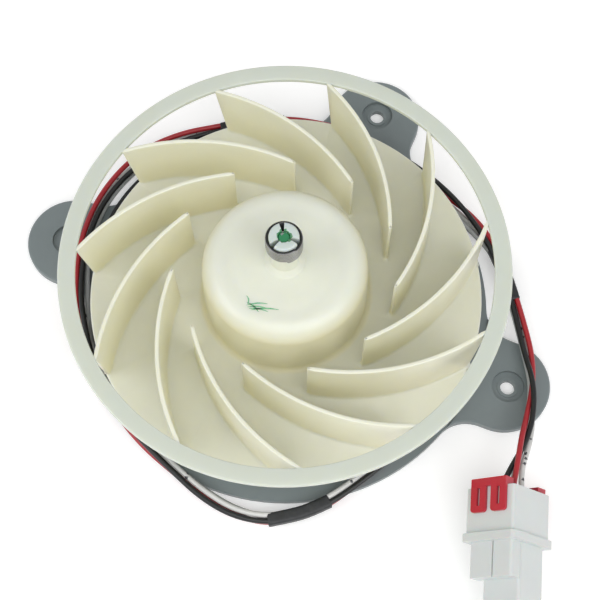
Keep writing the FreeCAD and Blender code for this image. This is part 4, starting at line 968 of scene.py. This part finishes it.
class FAN_OT_add_studio(bpy.types.Operator):
    """Sets the pale floor, the soft lights, the world and the camera"""
    bl_idname = "fan.add_studio"
    bl_label = "Add Studio"

    # Name, place as (distance from the fan axis, angle, height), diameter and power
    lights = (("left_softbox", (1.1, 217, 0.95), 1.0, 5.5),
              ("right_softbox", (1.1, 344, 0.95), 1.0, 5.0),
              ("front_softbox", (0.6, 300, 1.10), 1.2, 6.7))
    light_target = Vector((0, 0, 0.02))
    floor_half = 2.0
    floor_height = -0.0001
    floor_grey = 0.90
    floor_glow = 0.24
    world_strength = 0.45

    def execute(self, context):
        self.add_floor()
        self.set_world(context.scene)
        for light in self.lights:
            self.add_light(*light)
        self.add_camera(context.scene)
        context.scene.view_settings.view_transform = "Standard"
        return {"FINISHED"}

    def add_floor(self):
        """A pale square; it glows a little where the camera, a reflection or a clear body shows it."""
        h, z = self.floor_half, self.floor_height
        mesh = bpy.data.meshes.new("floor")
        mesh.from_pydata([(-h, -h, z), (h, -h, z), (h, h, z), (-h, h, z)], [], [(0, 1, 2, 3)])
        floor = new_object("floor", mesh)
        finish = Finish("Floor", (self.floor_grey,) * 3, 0.6, Specular_IOR_Level=0.1,
                        Emission_Color=(1, 1, 1, 1))
        path = finish.node("ShaderNodeLightPath").outputs
        seen = finish.math("ADD", path["Is Camera Ray"], path["Is Glossy Ray"], clamp=True)
        seen = finish.math("ADD", seen, path["Is Transmission Ray"], clamp=True)
        finish.feed("Emission Strength", finish.math("MULTIPLY", seen, self.floor_glow))
        mesh.materials.append(finish.material)

    def set_world(self, scene):
        world = bpy.data.worlds.new("Studio")
        world.use_nodes = True
        background = world.node_tree.nodes["Background"]
        background.inputs["Color"].default_value = (1, 1, 1, 1)
        background.inputs["Strength"].default_value = self.world_strength
        scene.world = world

    def add_light(self, name, place, size, power):
        place = polar(*place)
        data = bpy.data.lights.new(name, "AREA")
        data.shape = "DISK"
        data.size = size
        data.energy = power
        light = new_object(name, data)
        light.location = place
        light.rotation_euler = (self.light_target - place).to_track_quat("-Z", "Y").to_euler()

    def add_camera(self, scene):
        s = scene.fan_studio
        data = bpy.data.cameras.new("camera")
        data.sensor_width = 36.0
        data.lens = s.camera_lens
        data.clip_start = 0.01
        data.clip_end = 20.0
        camera = new_object("camera", data)
        tilt = Euler((s.camera_tilt, 0, 0)).to_matrix()
        azimuth = Euler((0, 0, s.camera_azimuth)).to_matrix()
        roll = Euler((0, 0, s.camera_roll)).to_matrix()
        camera.rotation_euler = (azimuth @ tilt @ roll).to_euler()
        camera.location = s.camera_place
        scene.camera = camera


class FAN_PT_panel(bpy.types.Panel):
    """Lists the fan motor's pieces and studio"""
    bl_label = "Fan Motor"
    bl_idname = "FAN_PT_panel"
    bl_space_type = "VIEW_3D"
    bl_region_type = "UI"
    bl_category = "Fan Motor"

    def draw(self, context):
        layout = self.layout
        for operator in OPERATORS:
            layout.operator(operator.bl_idname)
        for name in SETTINGS:
            settings = getattr(context.scene, name)
            box = layout.box()
            for key in settings.__annotations__:
                box.prop(settings, key)


SETTINGS = {"fan_impeller": ImpellerSettings, "fan_leads": LeadSettings, "fan_studio": StudioSettings}
OPERATORS = (FAN_OT_finish_nodes, FAN_OT_add_impeller, FAN_OT_add_marker_strokes,
             FAN_OT_add_spring_clip, FAN_OT_add_leads, FAN_OT_add_studio)


def register():
    for cls in (*SETTINGS.values(), *OPERATORS, FAN_PT_panel):
        bpy.utils.register_class(cls)
    for name, cls in SETTINGS.items():
        setattr(bpy.types.Scene, name, bpy.props.PointerProperty(type=cls))


def unregister():
    for name in SETTINGS:
        delattr(bpy.types.Scene, name)
    for cls in reversed((*SETTINGS.values(), *OPERATORS, FAN_PT_panel)):
        bpy.utils.unregister_class(cls)


def main():
    register()
    bpy.ops.fan.finish_nodes()
    bpy.ops.fan.add_impeller()
    bpy.ops.fan.add_marker_strokes()
    bpy.ops.fan.add_spring_clip()
    bpy.ops.fan.add_leads()
    bpy.ops.fan.add_studio()


if __name__ == "__main__":
    main()
